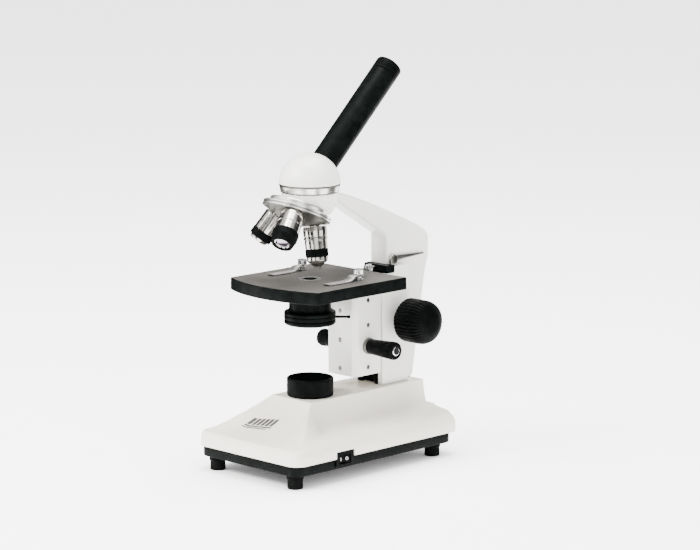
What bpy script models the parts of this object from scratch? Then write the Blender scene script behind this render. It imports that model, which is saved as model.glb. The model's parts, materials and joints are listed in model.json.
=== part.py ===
"""Student microscope with an inclined monocular head, built as separate pieces.

Lengths are in millimetres until a mesh is made, and metres from there on. The design frame has the
optical axis at x = y = 0, the table at z = 0, the arm towards +Y and the front of the stage towards -Y.
"""
import math

import bmesh
import bpy
from mathutils import Matrix, Vector

MM = 0.001
GAP = 0.3                      # clearance between pieces that touch
AXIS_OFFSET = 32.8             # from the middle of the footprint forward to the optical axis
ROUND = 24                     # sides of a large turned piece
SMALL_ROUND = 12               # sides of a small turned piece

# Base
SHELL_HALF_WIDTH = 67.6
SHELL_FRONT = -82.7
SHELL_BACK = 133.0
SHELL_BOTTOM = 23.0
SHELL_WALL = 2.8
SKIRT_TOP = 30.0
SKIRT_ROUND = 8.0
SIDE_EDGE = 38.0
FRONT_EDGE = 36.0
CORNER = 12.0
RIDGE_TOP = 67.5
RIDGE_HALF_WIDTH = 26.0
RIDGE_FRONT = -24.0
RIDGE_BACK = 125.0
SIDE_POWER = 7.0               # how sharply the ridge's sides fall into their cove
BACK_SHARPENING = 10.0         # what is added to that towards the back
FRONT_POWER = 3.0
HIP_POWER = 1.2
BRIM_RISE = 5.0                # rise of the brim from its edge to the foot of the ridge
PLATE_BACK = 125.0
PLATE_BOTTOM = 13.0
PLATE_WALL = 2.0
PLATE_INSET = 2.6
FOOT_X = 51.5
FOOT_FRONT = -69.5
FOOT_BACK = 110.5
LAMP_HOLE = 17.0

# Rocker switch on the side of the base
SWITCH_FRONT = -32.0
SWITCH_BACK = -9.5
SWITCH_LOW = 15.6
SWITCH_HIGH = 29.0
SWITCH_INNER = 55.0
SWITCH_FACE = 66.8
ROCKER_PIVOT = (63.5, -20.75, 21.3)
WINDOW_HALF_LENGTH = 7.4
WINDOW_HALF_HEIGHT = 4.4
ROCKER_TILT = 8.0

# Power inlet in the back wall
INLET_X = 30.0
INLET_Z = 34.0
INLET_RADIUS = 6.0

# Arm and slide
ARM_HALF_WIDTH = 11.0
HOUSING_HALF_WIDTH = 19.5
HOUSING_FRONT = 76.0
HOUSING_BACK = 112.0
HOUSING_TOP = 178.8
ARM_FOOT = RIDGE_TOP + GAP
RAIL_HALF_WIDTH = 13.7
RAIL_FRONT = 76.5
RAIL_BACK = 88.0
RAIL_TOP = 173.4
BLOCK_FRONT = 39.0
BLOCK_BACK = 73.8
BLOCK_HALF_WIDTH = 19.7
BLOCK_CHAMFER = 4.4
BLOCK_BOTTOM = 80.5
BLOCK_TOP = 162.8

# Focus drive
COARSE_Y = 98.0
COARSE_Z = 129.5
COARSE_SHAFT = 3.0
COARSE_KNOB = 20.75
COARSE_RIM_END = 51.0
COARSE_FACE = 63.5
GEAR_MODULE = 1.0
PINION_TEETH = 14
PITCH_RADIUS = GEAR_MODULE * PINION_TEETH / 2
TOOTH_HALF = 0.6               # half a tooth's thickness on the pitch line, thinned for backlash
FINE_Y = 56.5
FINE_Z = 108.5
FINE_SHAFT = 2.3
CAM_RADIUS = 6.0
FINE_TRAVEL = 0.75             # rise of the stage over half of the fine knob's swing
FINE_SWING = math.radians(150)

# Stage
STAGE_TOP = 177.0
STAGE_BOTTOM = 165.5
STAGE_HALF_WIDTH = 58.0
STAGE_BACK = 68.6
STAGE_SIDE_FRONT = -46.0
STAGE_FRONT = -60.0
CLIP_X = 37.0
CLIP_Y = 26.0
IRIS_AZIMUTH = math.radians(42)

# Head and nosepiece
BOWL_RADIUS = 26.0
BOWL_TOP = 258.0
BAND_TOP = 265.6
DOME_RADIUS = 28.3
TUBE_TILT = math.radians(46)
TUBE_RADIUS = 12.75
TUBE_BORE = 11.75
TUBE_END = 133.5
EYEPIECE_END = 145.5
NOSE_TILT = math.radians(24)
NOSE_MIDDLE = Vector((0.0, -16.5, 241.6))
NOSE_APEX = 40.57              # from the middle of the nosepiece up to where the objectives' axes meet
NOSE_RADIUS = 32.2
CONE_RADIUS = 30.0             # where the turret's cone meets its rim
OBJECTIVE_SEAT = 52.4          # from that apex down to an objective's shoulder
TURRET_REST = -21.0            # degrees the turret stands past its click

# Clamp lever on the arm, and the stop screw behind the stage
LEVER_PIVOT = (11.3, 97.4, 184.5)
STOP_SCREW = (3.7, 69.4, 178.0)
STOP_SCREW_END = 86.0

PAINT = {
    "enamel": ((0.79, 0.78, 0.74), 0.35, 0.0),
    "black_enamel": ((0.02, 0.028, 0.026), 0.4, 0.0),
    "stage_black": ((0.05, 0.047, 0.044), 0.5, 0.0),
    "rubber": ((0.015, 0.016, 0.016), 0.8, 0.0),
    "black_plastic": ((0.012, 0.017, 0.016), 0.45, 0.0),
    "chrome": ((0.85, 0.85, 0.86), 0.12, 1.0),
    "steel": ((0.6, 0.6, 0.6), 0.3, 1.0),
    "brass": ((0.78, 0.6, 0.3), 0.3, 1.0),
    "glass": ((0.8, 0.88, 0.88), 0.05, 0.0),
}

AXIS_TURN = {
    "X": Matrix(((0, 0, 1), (1, 0, 0), (0, 1, 0))).to_4x4(),
    "Y": Matrix(((0, 1, 0), (0, 0, 1), (1, 0, 0))).to_4x4(),
    "Z": Matrix.Identity(4),
}


# ---------------------------------------------------------------- mesh tools

def turned(profile, sides=ROUND, place=Matrix.Identity(4)):
    """A closed (radius, height) outline turned about Z, then moved by place."""
    mesh = bmesh.new()
    rings = []
    for radius, height in profile:
        count = sides if radius > 0 else 1
        ring = []
        for step in range(count):
            angle = 2 * math.pi * step / sides
            ring.append(mesh.verts.new((radius * math.cos(angle), radius * math.sin(angle), height)))
        rings.append(ring)
    for ring, following in zip(rings, rings[1:] + rings[:1]):
        if len(ring) == 1 and len(following) == 1:
            continue
        for step in range(sides):
            after = step + 1
            corners = (ring[step % len(ring)], ring[after % len(ring)],
                       following[after % len(following)], following[step % len(following)])
            mesh.faces.new(list(dict.fromkeys(corners)))
    bmesh.ops.recalc_face_normals(mesh, faces=mesh.faces)
    mesh.transform(place)
    return mesh


def extruded(outline, low, high, along="Z"):
    """A flat outline stood up from low to high; its two coordinates follow along in X, Y, Z order."""
    mesh = bmesh.new()
    bottom = [mesh.verts.new((a, b, low)) for a, b in outline]
    top = [mesh.verts.new((a, b, high)) for a, b in outline]
    mesh.faces.new(bottom)
    mesh.faces.new(top)
    for step in range(len(outline)):
        after = (step + 1) % len(outline)
        mesh.faces.new((bottom[step], bottom[after], top[after], top[step]))
    bmesh.ops.recalc_face_normals(mesh, faces=mesh.faces)
    mesh.transform(AXIS_TURN[along])
    return mesh


def box(x_range, y_range, z_range):
    """A box between the given pairs of limits."""
    (x0, x1), (y0, y1) = x_range, y_range
    return extruded([(x0, y0), (x1, y0), (x1, y1), (x0, y1)], z_range[0], z_range[1])


def rod(radius, low, high, centre, along="Z", sides=SMALL_ROUND):
    """A round bar along an axis; centre gives the two other coordinates in AXIS_TURN's order."""
    profile = [(0, low), (radius, low), (radius, high), (0, high)]
    return turned(profile, sides, axis_place(centre, along))


def axis_place(centre, along):
    """The move that takes a piece turned about Z to an axis through centre."""
    return AXIS_TURN[along] @ Matrix.Translation((centre[0], centre[1], 0))


def rounded_rectangle(x_range, y_range, radius, steps=4):
    """Corner points of a rectangle with round corners, going anticlockwise."""
    (x0, x1), (y0, y1) = x_range, y_range
    corners = ((x1 - radius, y1 - radius), (x0 + radius, y1 - radius),
               (x0 + radius, y0 + radius), (x1 - radius, y0 + radius))
    outline = []
    for quarter, (cx, cy) in enumerate(corners):
        for step in range(steps + 1):
            angle = math.pi / 2 * (quarter + step / steps)
            outline.append((cx + radius * math.cos(angle), cy + radius * math.sin(angle)))
    return outline


# ---------------------------------------------------------------- scene tools

def clear_scene():
    for item in list(bpy.data.objects):
        bpy.data.objects.remove(item, do_unlink=True)


def make_frame():
    frame = bpy.data.objects.new("optical_axis_frame", None)
    frame.location = (0, -AXIS_OFFSET * MM, 0)
    bpy.context.collection.objects.link(frame)
    return frame


def make_material(name):
    colour, roughness, metallic = PAINT[name]
    material = bpy.data.materials.new(name)
    material.use_nodes = True
    shader = material.node_tree.nodes["Principled BSDF"]
    shader.inputs["Base Color"].default_value = (*colour, 1)
    shader.inputs["Roughness"].default_value = roughness
    shader.inputs["Metallic"].default_value = metallic
    return material


clear_scene()
FRAME = make_frame()


def piece(name, mesh, paint, pivot=(0, 0, 0)):
    """A named object from a mesh drawn in the design frame, with its origin at pivot."""
    mesh.transform(Matrix.Translation(-Vector(pivot)))
    mesh.transform(Matrix.Scale(MM, 4))
    data = bpy.data.meshes.new(name)
    mesh.to_mesh(data)
    mesh.free()
    data.materials.append(make_material(paint))
    data.shade_smooth()
    data.set_sharp_from_angle(angle=math.radians(35))
    item = bpy.data.objects.new(name, data)
    item.parent = FRAME
    item.location = Vector(pivot) * MM
    bpy.context.collection.objects.link(item)
    return item


def shape_with(item, mesh, operation="DIFFERENCE", bevel=0.0):
    """Cut a mesh from an object, or unite it, with a hidden tool object."""
    tool = piece(item.name + "_tool", mesh, "steel", Vector(item.location) / MM)
    tool.hide_render = True
    tool.display_type = "WIRE"
    if bevel:
        soften(tool, bevel)
    boolean = item.modifiers.new("shape", "BOOLEAN")
    boolean.operation = operation
    boolean.solver = "EXACT"
    boolean.object = tool
    return item


def soften(item, width, segments=2):
    """Round the sharp edges of an object."""
    bevel = item.modifiers.new("soften", "BEVEL")
    bevel.width = width * MM
    bevel.segments = segments
    bevel.limit_method = "ANGLE"
    bevel.angle_limit = math.radians(50)
    return item


# ---------------------------------------------------------------- base

def plan_half_width(y):
    """Half width of the base shell in plan, with its corners rounded."""
    from_end = min(y - SHELL_FRONT, SHELL_BACK - y)
    if from_end >= CORNER:
        return SHELL_HALF_WIDTH
    reach = CORNER - from_end
    return SHELL_HALF_WIDTH - CORNER + math.sqrt(max(0.0, CORNER ** 2 - reach ** 2))


def shell_height(x, y):
    """Height of the shell's top: a flat ridge with coved sides, and hips out to the front corners."""
    side = max(0.0, abs(x) - RIDGE_HALF_WIDTH) / (SHELL_HALF_WIDTH - RIDGE_HALF_WIDTH)
    front = max(0.0, RIDGE_FRONT - y) / (RIDGE_FRONT - SHELL_FRONT)
    spread = min(1.0, (side ** 4 + front ** 4) ** 0.25)
    forward = front / (side + front) if spread > 0 else 0.0
    hip = 1 - abs(2 * forward - 1)
    backward = max(0.0, (y - RIDGE_FRONT) / (RIDGE_BACK - RIDGE_FRONT))
    side_power = SIDE_POWER + BACK_SHARPENING * backward
    flank = side_power + (FRONT_POWER - side_power) * forward
    power = flank + (HIP_POWER - flank) * hip
    edge = SIDE_EDGE + (FRONT_EDGE - SIDE_EDGE) * forward
    height = edge + BRIM_RISE * (1 - spread) + (RIDGE_TOP - BRIM_RISE - edge) * (1 - spread) ** power
    if y > RIDGE_BACK:
        height = min(height, SIDE_EDGE + BRIM_RISE + 1)
    inward = min(plan_half_width(y) - abs(x), y - SHELL_FRONT)
    if inward < SKIRT_ROUND:
        rim = SKIRT_TOP + math.sqrt(max(0.0, SKIRT_ROUND ** 2 - (SKIRT_ROUND - inward) ** 2))
        height = min(height, rim)
    return height


def shell_section(y):
    """Points across the shell at one station, from the left bottom edge to the right one."""
    half = plan_half_width(y)
    slope_start = half - SKIRT_ROUND
    slope = RIDGE_HALF_WIDTH - slope_start
    xs = [half, half - 0.1 * SKIRT_ROUND, half - 0.4 * SKIRT_ROUND, slope_start]
    xs += [slope_start + slope * share for share in (0.35, 0.62, 0.8, 0.9, 0.95, 0.98, 1)]
    right = [(half, SHELL_BOTTOM)] + [(x, shell_height(x, y)) for x in xs]
    left = [(-x, z) for x, z in right]
    return left + [(0.0, shell_height(0.0, y))] + right[::-1]


def shell_stations():
    """Places along Y where the shell's section is taken, close together round the corners."""
    corner = [CORNER * (1 - math.cos(math.radians(angle))) for angle in (0, 22.5, 45, 67.5, 90)]
    front = [SHELL_FRONT + step for step in corner]
    back = [SHELL_BACK - step for step in corner[:4]]
    back += [RIDGE_BACK + 0.2, RIDGE_BACK - 0.8, SHELL_BACK - CORNER]
    middle = [-62, -52, -43, -36, -31, -27, RIDGE_FRONT, -12, 25, 70]
    return front + middle + back[::-1]


def base_shell():
    """A moulded shell, open below, with holes for the lamp, the switch and the power inlet."""
    stations = shell_stations()
    middle = (SHELL_FRONT + SHELL_BACK) / 2
    shrink = 1 - 2 * SHELL_WALL / (SHELL_BACK - SHELL_FRONT)
    mesh = bmesh.new()
    outer, inner = [], []
    for y in stations:
        section = shell_section(y)
        half = plan_half_width(y)
        outer.append([mesh.verts.new((x, y, z)) for x, z in section])
        row = []
        for x, z in section:
            drop = SHELL_WALL if z > SHELL_BOTTOM else 0.0
            inset_x = x * (1 - SHELL_WALL / half)
            row.append(mesh.verts.new((inset_x, middle + (y - middle) * shrink, z - drop)))
        inner.append(row)
    for skin in (outer, inner):
        for row, following in zip(skin, skin[1:]):
            for step in range(len(row) - 1):
                mesh.faces.new((row[step], row[step + 1], following[step + 1], following[step]))
        mesh.faces.new(skin[0])
        mesh.faces.new(skin[-1])
    for step in range(len(stations) - 1):
        after = step + 1
        for side in (0, -1):
            mesh.faces.new((outer[step][side], outer[after][side], inner[after][side], inner[step][side]))
    for end in (0, -1):
        mesh.faces.new((outer[end][0], outer[end][-1], inner[end][-1], inner[end][0]))
    bmesh.ops.recalc_face_normals(mesh, faces=mesh.faces)
    shell = piece("base_shell", mesh, "enamel")
    shape_with(shell, rod(LAMP_HOLE, RIDGE_TOP - 10, RIDGE_TOP + 10, (0, 0), sides=24))
    notch_y = (SWITCH_FRONT - GAP, SWITCH_BACK + GAP)
    shape_with(shell, box((SWITCH_INNER - 1, 75), notch_y, (15, SWITCH_HIGH + GAP)))
    inlet_hole = rod(INLET_RADIUS + GAP, SHELL_BACK - 20, SHELL_BACK + 10, (INLET_Z, INLET_X), "Y")
    shape_with(shell, inlet_hole)


def base_plate():
    """A pressed tray that closes the base from below."""
    half = SHELL_HALF_WIDTH - PLATE_INSET
    front = SHELL_FRONT + PLATE_INSET
    top = SHELL_BOTTOM - GAP
    outline = rounded_rectangle((-half, half), (front, PLATE_BACK), CORNER - PLATE_INSET)
    plate = piece("base_plate", extruded(outline, PLATE_BOTTOM, top), "black_enamel")
    inside = half - PLATE_WALL
    depth = (front + PLATE_WALL, PLATE_BACK - PLATE_WALL)
    hollow = rounded_rectangle((-inside, inside), depth, CORNER - PLATE_INSET - PLATE_WALL)
    floor = SWITCH_LOW - GAP
    shape_with(plate, extruded(hollow, floor, top + 5))
    notch_y = (SWITCH_FRONT - GAP, SWITCH_BACK + GAP)
    shape_with(plate, box((SWITCH_INNER - 1, 75), notch_y, (floor, top + 5)))


def feet():
    """Four rubber feet."""
    profile = [(0, 0), (6.6, 0), (7.2, 1.0), (7.8, PLATE_BOTTOM - GAP), (0, PLATE_BOTTOM - GAP)]
    places = {
        "foot_front_left": (-FOOT_X, FOOT_FRONT),
        "foot_front_right": (FOOT_X, FOOT_FRONT),
        "foot_back_left": (-FOOT_X, FOOT_BACK),
        "foot_back_right": (FOOT_X, FOOT_BACK),
    }
    for name, centre in places.items():
        piece(name, turned(profile, 24, axis_place(centre, "Z")), "rubber")


def lamp():
    """The collar on the ridge, its lens, and the bulb and socket below."""
    base = RIDGE_TOP + GAP
    collar = [(19.9, base), (21.7, base), (21.7, 84.7), (19.9, 84.7)]
    piece("lamp_collar", turned(collar), "black_plastic")
    lens = [(0, base), (19.4, base), (19.4, base + 1.3), (14, base + 3.3), (7, base + 4.4), (0, base + 4.7)]
    piece("collector_lens", turned(lens, 24), "glass")
    floor = SWITCH_LOW
    socket = [(0, floor), (11, floor), (11, floor + 3), (8, floor + 3), (8, 40), (0, 40)]
    piece("lamp_socket", turned(socket, SMALL_ROUND), "black_plastic")
    bulb = [(0, 40.3), (5, 40.3), (5, 46), (6.5, 50), (6.5, 55), (4.5, 59), (0, 61)]
    piece("lamp_bulb", turned(bulb, SMALL_ROUND), "glass")


def switch():
    """The rocker switch: a bezel with a window, and the rocker in it, tilted to off at rest."""
    frame = box((SWITCH_INNER, SWITCH_FACE), (SWITCH_FRONT, SWITCH_BACK), (SWITCH_LOW, SWITCH_HIGH))
    bezel = piece("switch_bezel", frame, "black_plastic")
    px, py, pz = ROCKER_PIVOT
    window_y = (py - WINDOW_HALF_LENGTH, py + WINDOW_HALF_LENGTH)
    window_z = (pz - WINDOW_HALF_HEIGHT, pz + WINDOW_HALF_HEIGHT)
    shape_with(bezel, box((px - 5.5, 75), window_y, window_z))
    outline = [(1.0, 0), (2.4, 6.5), (-0.8, 6.5), (-3.0, 3.0), (-3.0, -3.0), (-0.8, -6.5), (2.4, -6.5)]
    rocker = extruded(outline, -4.0, 4.0)
    rocker.transform(Matrix.Rotation(math.radians(-ROCKER_TILT), 4, "Z"))
    rocker.transform(Matrix.Translation(ROCKER_PIVOT))
    piece("switch_rocker", rocker, "black_plastic", ROCKER_PIVOT)


def power_inlet():
    """A low-voltage jack in the back wall: a tube with a centre pin."""
    back = SHELL_BACK - 0.2
    profile = [(0, back - 12), (INLET_RADIUS, back - 12), (INLET_RADIUS, back), (2.9, back), (2.9, back - 9),
               (1.05, back - 9), (1.05, back - 1), (0, back - 1)]
    place = axis_place((INLET_Z, INLET_X), "Y")
    piece("power_inlet", turned(profile, SMALL_ROUND, place), "black_plastic")


# ---------------------------------------------------------------- arm and slide

def nose_place():
    """The nosepiece's own frame: its origin in the middle of the disc and its Z up the tilted axis."""
    return Matrix.Translation(NOSE_MIDDLE) @ Matrix.Rotation(-NOSE_TILT, 4, "X")


def arm():
    """One casting: the curved arm, the slide housing at its foot and the bowl that carries the head."""
    back = [(148.3, 185.9), (144.4, 168.7), (140, 146.1), (131.8, 97.4), (127, ARM_FOOT)]
    foot = [(100, ARM_FOOT), (100, HOUSING_TOP), (90, HOUSING_TOP), (90, 203), (88.6, 208.8)]
    under = [(26, 248), (8, 250)]
    top = [(8, 256.5), (29.7, 255.6), (56, 246.4), (79, 237.7), (109.9, 224.3), (132.2, 213.6), (139, 209.6),
           (144.2, 204), (147.4, 196.5)]
    web = extruded(top + back + foot + under, -ARM_HALF_WIDTH, ARM_HALF_WIDTH, "X")
    body = soften(piece("arm", web, "enamel"), 2.4)
    cap_step = RAIL_TOP + GAP
    side = [(HOUSING_FRONT, ARM_FOOT), (HOUSING_BACK, ARM_FOOT), (HOUSING_BACK, HOUSING_TOP),
            (92.3, HOUSING_TOP), (92.3, cap_step), (HOUSING_FRONT, cap_step)]
    shape_with(body, extruded(side, -HOUSING_HALF_WIDTH, HOUSING_HALF_WIDTH, "X"), "UNION", 0.8)
    bowl = [(0, 229)]
    for step in range(7):
        angle = math.radians(72 - 12 * step)
        bowl.append((BOWL_RADIUS * math.cos(angle), BOWL_TOP - 30 * math.sin(angle)))
    bowl.append((0, BOWL_TOP))
    shape_with(body, turned(bowl), "UNION")
    below = box((-40, 40), (-60, 60), (-60, 7.5))
    below.transform(nose_place())
    shape_with(body, below)
    shape_with(body, rod(9, 220, 270, (0, 0)))
    channel = RAIL_HALF_WIDTH + GAP
    shape_with(body, box((-channel, channel), (70, RAIL_BACK + GAP), (60, 176)))
    shape_with(body, box((-9, 9), (80, 107), (76, 170)))
    shape_with(body, rod(6.0, -30, 30, (COARSE_Y, COARSE_Z), "X"))
    shape_with(body, rod(2.4, 6, 30, LEVER_PIVOT[1:], "X"))


def guide_rail():
    """The black dovetail guide let into the housing, slotted for the rack."""
    half = RAIL_HALF_WIDTH
    outline = [(-half, RAIL_FRONT), (-8.0, RAIL_FRONT), (-10.0, 82.0), (10.0, 82.0), (8.0, RAIL_FRONT),
               (half, RAIL_FRONT), (half, RAIL_BACK), (-half, RAIL_BACK)]
    rail = piece("guide_rail", extruded(outline, ARM_FOOT, RAIL_TOP), "black_enamel")
    shape_with(rail, box((-4.6, 4.6), (80, 95), (80, 169)))
    cap = box((-10, HOUSING_HALF_WIDTH), (81.6, 92), (RAIL_TOP + 2 * GAP, 180.9))
    cover = piece("guide_cap", cap, "black_enamel")
    shape_with(cover, box((-12, ARM_HALF_WIDTH + GAP), (89.7, 95), (HOUSING_TOP - GAP, 190)))
    shape_with(cover, rod(2.0, 70, STOP_SCREW_END + 0.4, (STOP_SCREW[2], STOP_SCREW[0]), "Y"))


def carriage_block():
    """The moving block: chamfered front, dovetail tongue behind, hollow for the fine focus."""
    half, narrow = BLOCK_HALF_WIDTH, BLOCK_HALF_WIDTH - BLOCK_CHAMFER
    shoulder = BLOCK_FRONT + BLOCK_CHAMFER
    right = [(narrow, BLOCK_FRONT), (half, shoulder), (half, BLOCK_BACK)]
    right += [(7.6, BLOCK_BACK), (7.6, 76.6), (9.5, 81.7)]
    outline = right + [(-x, y) for x, y in right[::-1]]
    block = piece("carriage_block", extruded(outline, BLOCK_BOTTOM, BLOCK_TOP), "enamel")
    soften(block, 0.6, 1)
    shape_with(block, box((-8, 8), (47, 66), (98, 175)))
    shape_with(block, rod(FINE_SHAFT + 0.4, -30, 30, (FINE_Y, FINE_Z), "X"))
    piece("rack", rack_mesh(), "steel")
    for side, name in ((-1, "fine_collar_left"), (1, "fine_collar_right")):
        collar = [(FINE_SHAFT + 0.4, BLOCK_HALF_WIDTH + GAP), (7.7, BLOCK_HALF_WIDTH + GAP), (7.7, 22.4),
                  (6.9, 23.0), (FINE_SHAFT + 0.4, 23.0)]
        place = axis_place((FINE_Y, FINE_Z), "X")
        if side < 0:
            place = Matrix.Rotation(math.pi, 4, Vector((0, 0, 1))) @ place
            place = Matrix.Translation((0, 2 * FINE_Y, 0)) @ place
        piece(name, turned(collar, SMALL_ROUND + 4, place), "chrome")


def rack_mesh():
    """A straight rack on the tongue, its pitch line a pinion radius in front of the coarse shaft."""
    pitch = math.pi * GEAR_MODULE
    line = COARSE_Y - PITCH_RADIUS
    root, tip = line - 1.25, line + 0.9
    half_count = 9
    outline = [(82.0, COARSE_Z - (half_count + 0.5) * pitch)]
    for tooth in range(-half_count, half_count + 1):
        centre = COARSE_Z + tooth * pitch
        outline += [(root, centre - TOOTH_HALF - 0.42), (tip, centre - TOOTH_HALF + 0.3),
                    (tip, centre + TOOTH_HALF - 0.3), (root, centre + TOOTH_HALF + 0.42)]
    outline.append((82.0, COARSE_Z + (half_count + 0.5) * pitch))
    return extruded(outline, -4, 4, "X")


# ---------------------------------------------------------------- coarse and fine focus

def coarse_focus():
    """One shaft across the housing with a pinion in the middle and a ribbed knob on each end."""
    pivot = (0, COARSE_Y, COARSE_Z)
    place = axis_place((COARSE_Y, COARSE_Z), "X")
    shaft = [(0, -40), (COARSE_SHAFT, -40), (COARSE_SHAFT, 40), (0, 40)]
    piece("coarse_shaft", turned(shaft, SMALL_ROUND, place), "steel", pivot)
    gear = extruded(pinion_outline(), -3.6, 3.6, "X")
    gear.transform(Matrix.Translation(pivot))
    pinion = piece("coarse_pinion", gear, "brass", pivot)
    shape_with(pinion, rod(COARSE_SHAFT + GAP, -10, 10, (COARSE_Y, COARSE_Z), "X"))
    knob = [(0, 40.3), (COARSE_SHAFT + GAP, 40.3), (COARSE_SHAFT + GAP, 21.0), (8.5, 21.0), (8.5, 31.5)]
    knob += [(19.2, 31.5), (COARSE_KNOB, 33.0), (COARSE_KNOB, COARSE_RIM_END), (19.6, COARSE_FACE - 7.2)]
    knob += [(16.6, COARSE_FACE - 3.4), (11.0, COARSE_FACE - 1), (0, COARSE_FACE)]
    bush = [(COARSE_SHAFT + 0.2, 14.6), (5.7, 14.6), (5.7, 20.4), (COARSE_SHAFT + 0.2, 20.4)]
    for side, word in ((-1, "left"), (1, "right")):
        turn = place @ Matrix.Rotation(0 if side > 0 else math.pi, 4, "Y")
        piece("coarse_knob_" + word, turned(knob, ROUND, turn), "black_plastic", pivot)
        piece("coarse_bush_" + word, turned(bush, SMALL_ROUND, turn), "brass")


def pinion_outline():
    """A small gear with straight-sided teeth, one of them pointing at the rack's gap."""
    outline = []
    root, tip = PITCH_RADIUS - 1.25, PITCH_RADIUS + 0.9
    for tooth in range(PINION_TEETH):
        middle = math.pi + 2 * math.pi * (tooth + 0.5) / PINION_TEETH
        for radius, half in ((root, TOOTH_HALF + 0.35), (tip, TOOTH_HALF - 0.3)):
            outline.append((radius, middle - half / radius))
        for radius, half in ((tip, TOOTH_HALF - 0.3), (root, TOOTH_HALF + 0.35)):
            outline.append((radius, middle + half / radius))
    return [(radius * math.cos(angle), radius * math.sin(angle)) for radius, angle in outline]


def fine_focus():
    """A thin shaft through the block with a snail cam under the stage's stem, and two knobs."""
    pivot = (0, FINE_Y, FINE_Z)
    place = axis_place((FINE_Y, FINE_Z), "X")
    shaft = [(0, -34), (FINE_SHAFT, -34), (FINE_SHAFT, 46), (0, 46)]
    piece("fine_shaft", turned(shaft, SMALL_ROUND, place), "steel", pivot)
    outline = []
    for step in range(37):
        angle = -math.pi + 2 * math.pi * step / 36
        radius = CAM_RADIUS + FINE_TRAVEL * angle / FINE_SWING
        outline.append((radius * math.sin(angle), radius * math.cos(angle)))
    cam_mesh = extruded(outline, -4, 4, "X")
    cam_mesh.transform(Matrix.Translation(pivot))
    cam = piece("fine_cam", cam_mesh, "brass", pivot)
    shape_with(cam, rod(FINE_SHAFT + GAP, -10, 10, (FINE_Y, FINE_Z), "X"))
    bore = FINE_SHAFT + GAP
    right = [(0, 46.3), (bore, 46.3), (bore, 23.4), (7.2, 23.4), (7.2, 29), (8.5, 50), (8.5, 54.4), (7.4, 56),
             (4.6, 56), (4.6, 54.6), (0, 54.6)]
    piece("fine_knob_right", turned(right, 24, place), "black_plastic", pivot)
    cap = [(0, 54.9), (4.2, 54.9), (4.2, 56.2), (0, 56.5)]
    piece("fine_knob_cap", turned(cap, SMALL_ROUND, place), "chrome", pivot)
    left = [(0, 34.3), (bore, 34.3), (bore, 23.4), (7.2, 23.4), (8.5, 37), (8.0, 41), (5, 42.6), (0, 43)]
    turn = place @ Matrix.Rotation(math.pi, 4, "Y")
    piece("fine_knob_left", turned(left, 24, turn), "black_plastic", pivot)


# ---------------------------------------------------------------- stage

def stage():
    """The stage plate with its ring, the bracket that carries it, and the clips' posts."""
    chord, rise = STAGE_HALF_WIDTH, STAGE_SIDE_FRONT - STAGE_FRONT
    radius = (chord ** 2 + rise ** 2) / (2 * rise)
    sweep = math.asin(chord / radius)
    outline = [(chord, STAGE_BACK), (-chord, STAGE_BACK)]
    for step in range(13):
        angle = -sweep + 2 * sweep * step / 12
        outline.append((radius * math.sin(angle), STAGE_FRONT + radius * (1 - math.cos(angle))))
    plate = piece("stage_plate", extruded(outline, STAGE_BOTTOM, STAGE_TOP), "stage_black")
    soften(plate, 0.7, 1)
    shape_with(plate, rod(11.3, 150, 190, (0, 0), sides=24))
    ring = [(4.8, 174.0), (11.0, 174.0), (11.0, STAGE_TOP + 0.1), (6.4, STAGE_TOP + 0.1), (4.8, 176.2)]
    piece("stage_ring", turned(ring, 24), "steel")
    stem_foot = FINE_Z + CAM_RADIUS + GAP
    bracket = piece("stage_bracket", box((-7, 7), (48.5, 64.5), (stem_foot + 3, 164.5)), "steel")
    shape_with(bracket, box((-12, 12), (37, 66), (163.9, STAGE_BOTTOM - GAP)), "UNION")
    follower = box((-3.5, 3.5), (FINE_Y - 1.5, FINE_Y + 1.5), (stem_foot, stem_foot + 4))
    shape_with(bracket, follower, "UNION")
    for word, side in (("left", -1), ("right", 1)):
        low = STAGE_TOP + GAP
        post = [(0, low), (4.2, low), (4.2, 180.4), (1.7, 180.8), (1.7, 182.6)]
        post += [(4.4, 182.6), (4.4, 187), (3.6, 187.8), (0, 187.8)]
        centre = (side * CLIP_X, CLIP_Y)
        piece("clip_post_" + word, turned(post, SMALL_ROUND, axis_place(centre, "Z")), "chrome")
        clip(word, centre)


def clip(word, centre):
    """A spring strip that lies on the stage and steps up to its post."""
    rest = STAGE_TOP + GAP + 0.1
    line = [(-17.5, rest + 1.2), (-14.5, rest), (12, rest), (17.5, rest + 3.9), (31, rest + 3.9)]
    thickness = 0.9
    outline = line + [(y, z + thickness) for y, z in line[::-1]]
    x = centre[0]
    strip = piece("clip_" + word, extruded(outline, x - 4.5, x + 4.5, "X"), "chrome", (*centre, rest))
    shape_with(strip, rod(2.1, 170, 190, centre))


def condenser():
    """The fixed condenser under the stage, and the iris ring with its lever and blades."""
    top = STAGE_BOTTOM - GAP
    body = [(12.3, 137), (15, 137), (15, 143.6), (24, 143.6), (24, 147), (19.5, 148)]
    body += [(19.5, top), (12.3, top)]
    piece("condenser_body", turned(body), "black_enamel")
    lens = [(0, 155), (12.0, 155), (12.0, 159.5), (8, 162.3), (0, 163.5)]
    piece("condenser_lens", turned(lens, 24), "glass")
    ring = [(11, 134.9), (22.6, 134.9), (24, 136.2), (24, 143.3), (15.3, 143.3), (15.3, 136.7), (11, 136.7)]
    iris = piece("iris_ring", turned(ring), "black_enamel")
    handle = box((20, 37.5), (-1.2, 1.2), (140.6, 142.6))
    handle.transform(Matrix.Rotation(IRIS_AZIMUTH, 4, "Z"))
    shape_with(iris, handle, "UNION")
    blades = [(5, 135.2), (10.7, 135.2), (10.7, 135.8), (5, 135.8)]
    piece("iris_blades", turned(blades, 24), "black_enamel")


# ---------------------------------------------------------------- head and eyepiece

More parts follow.
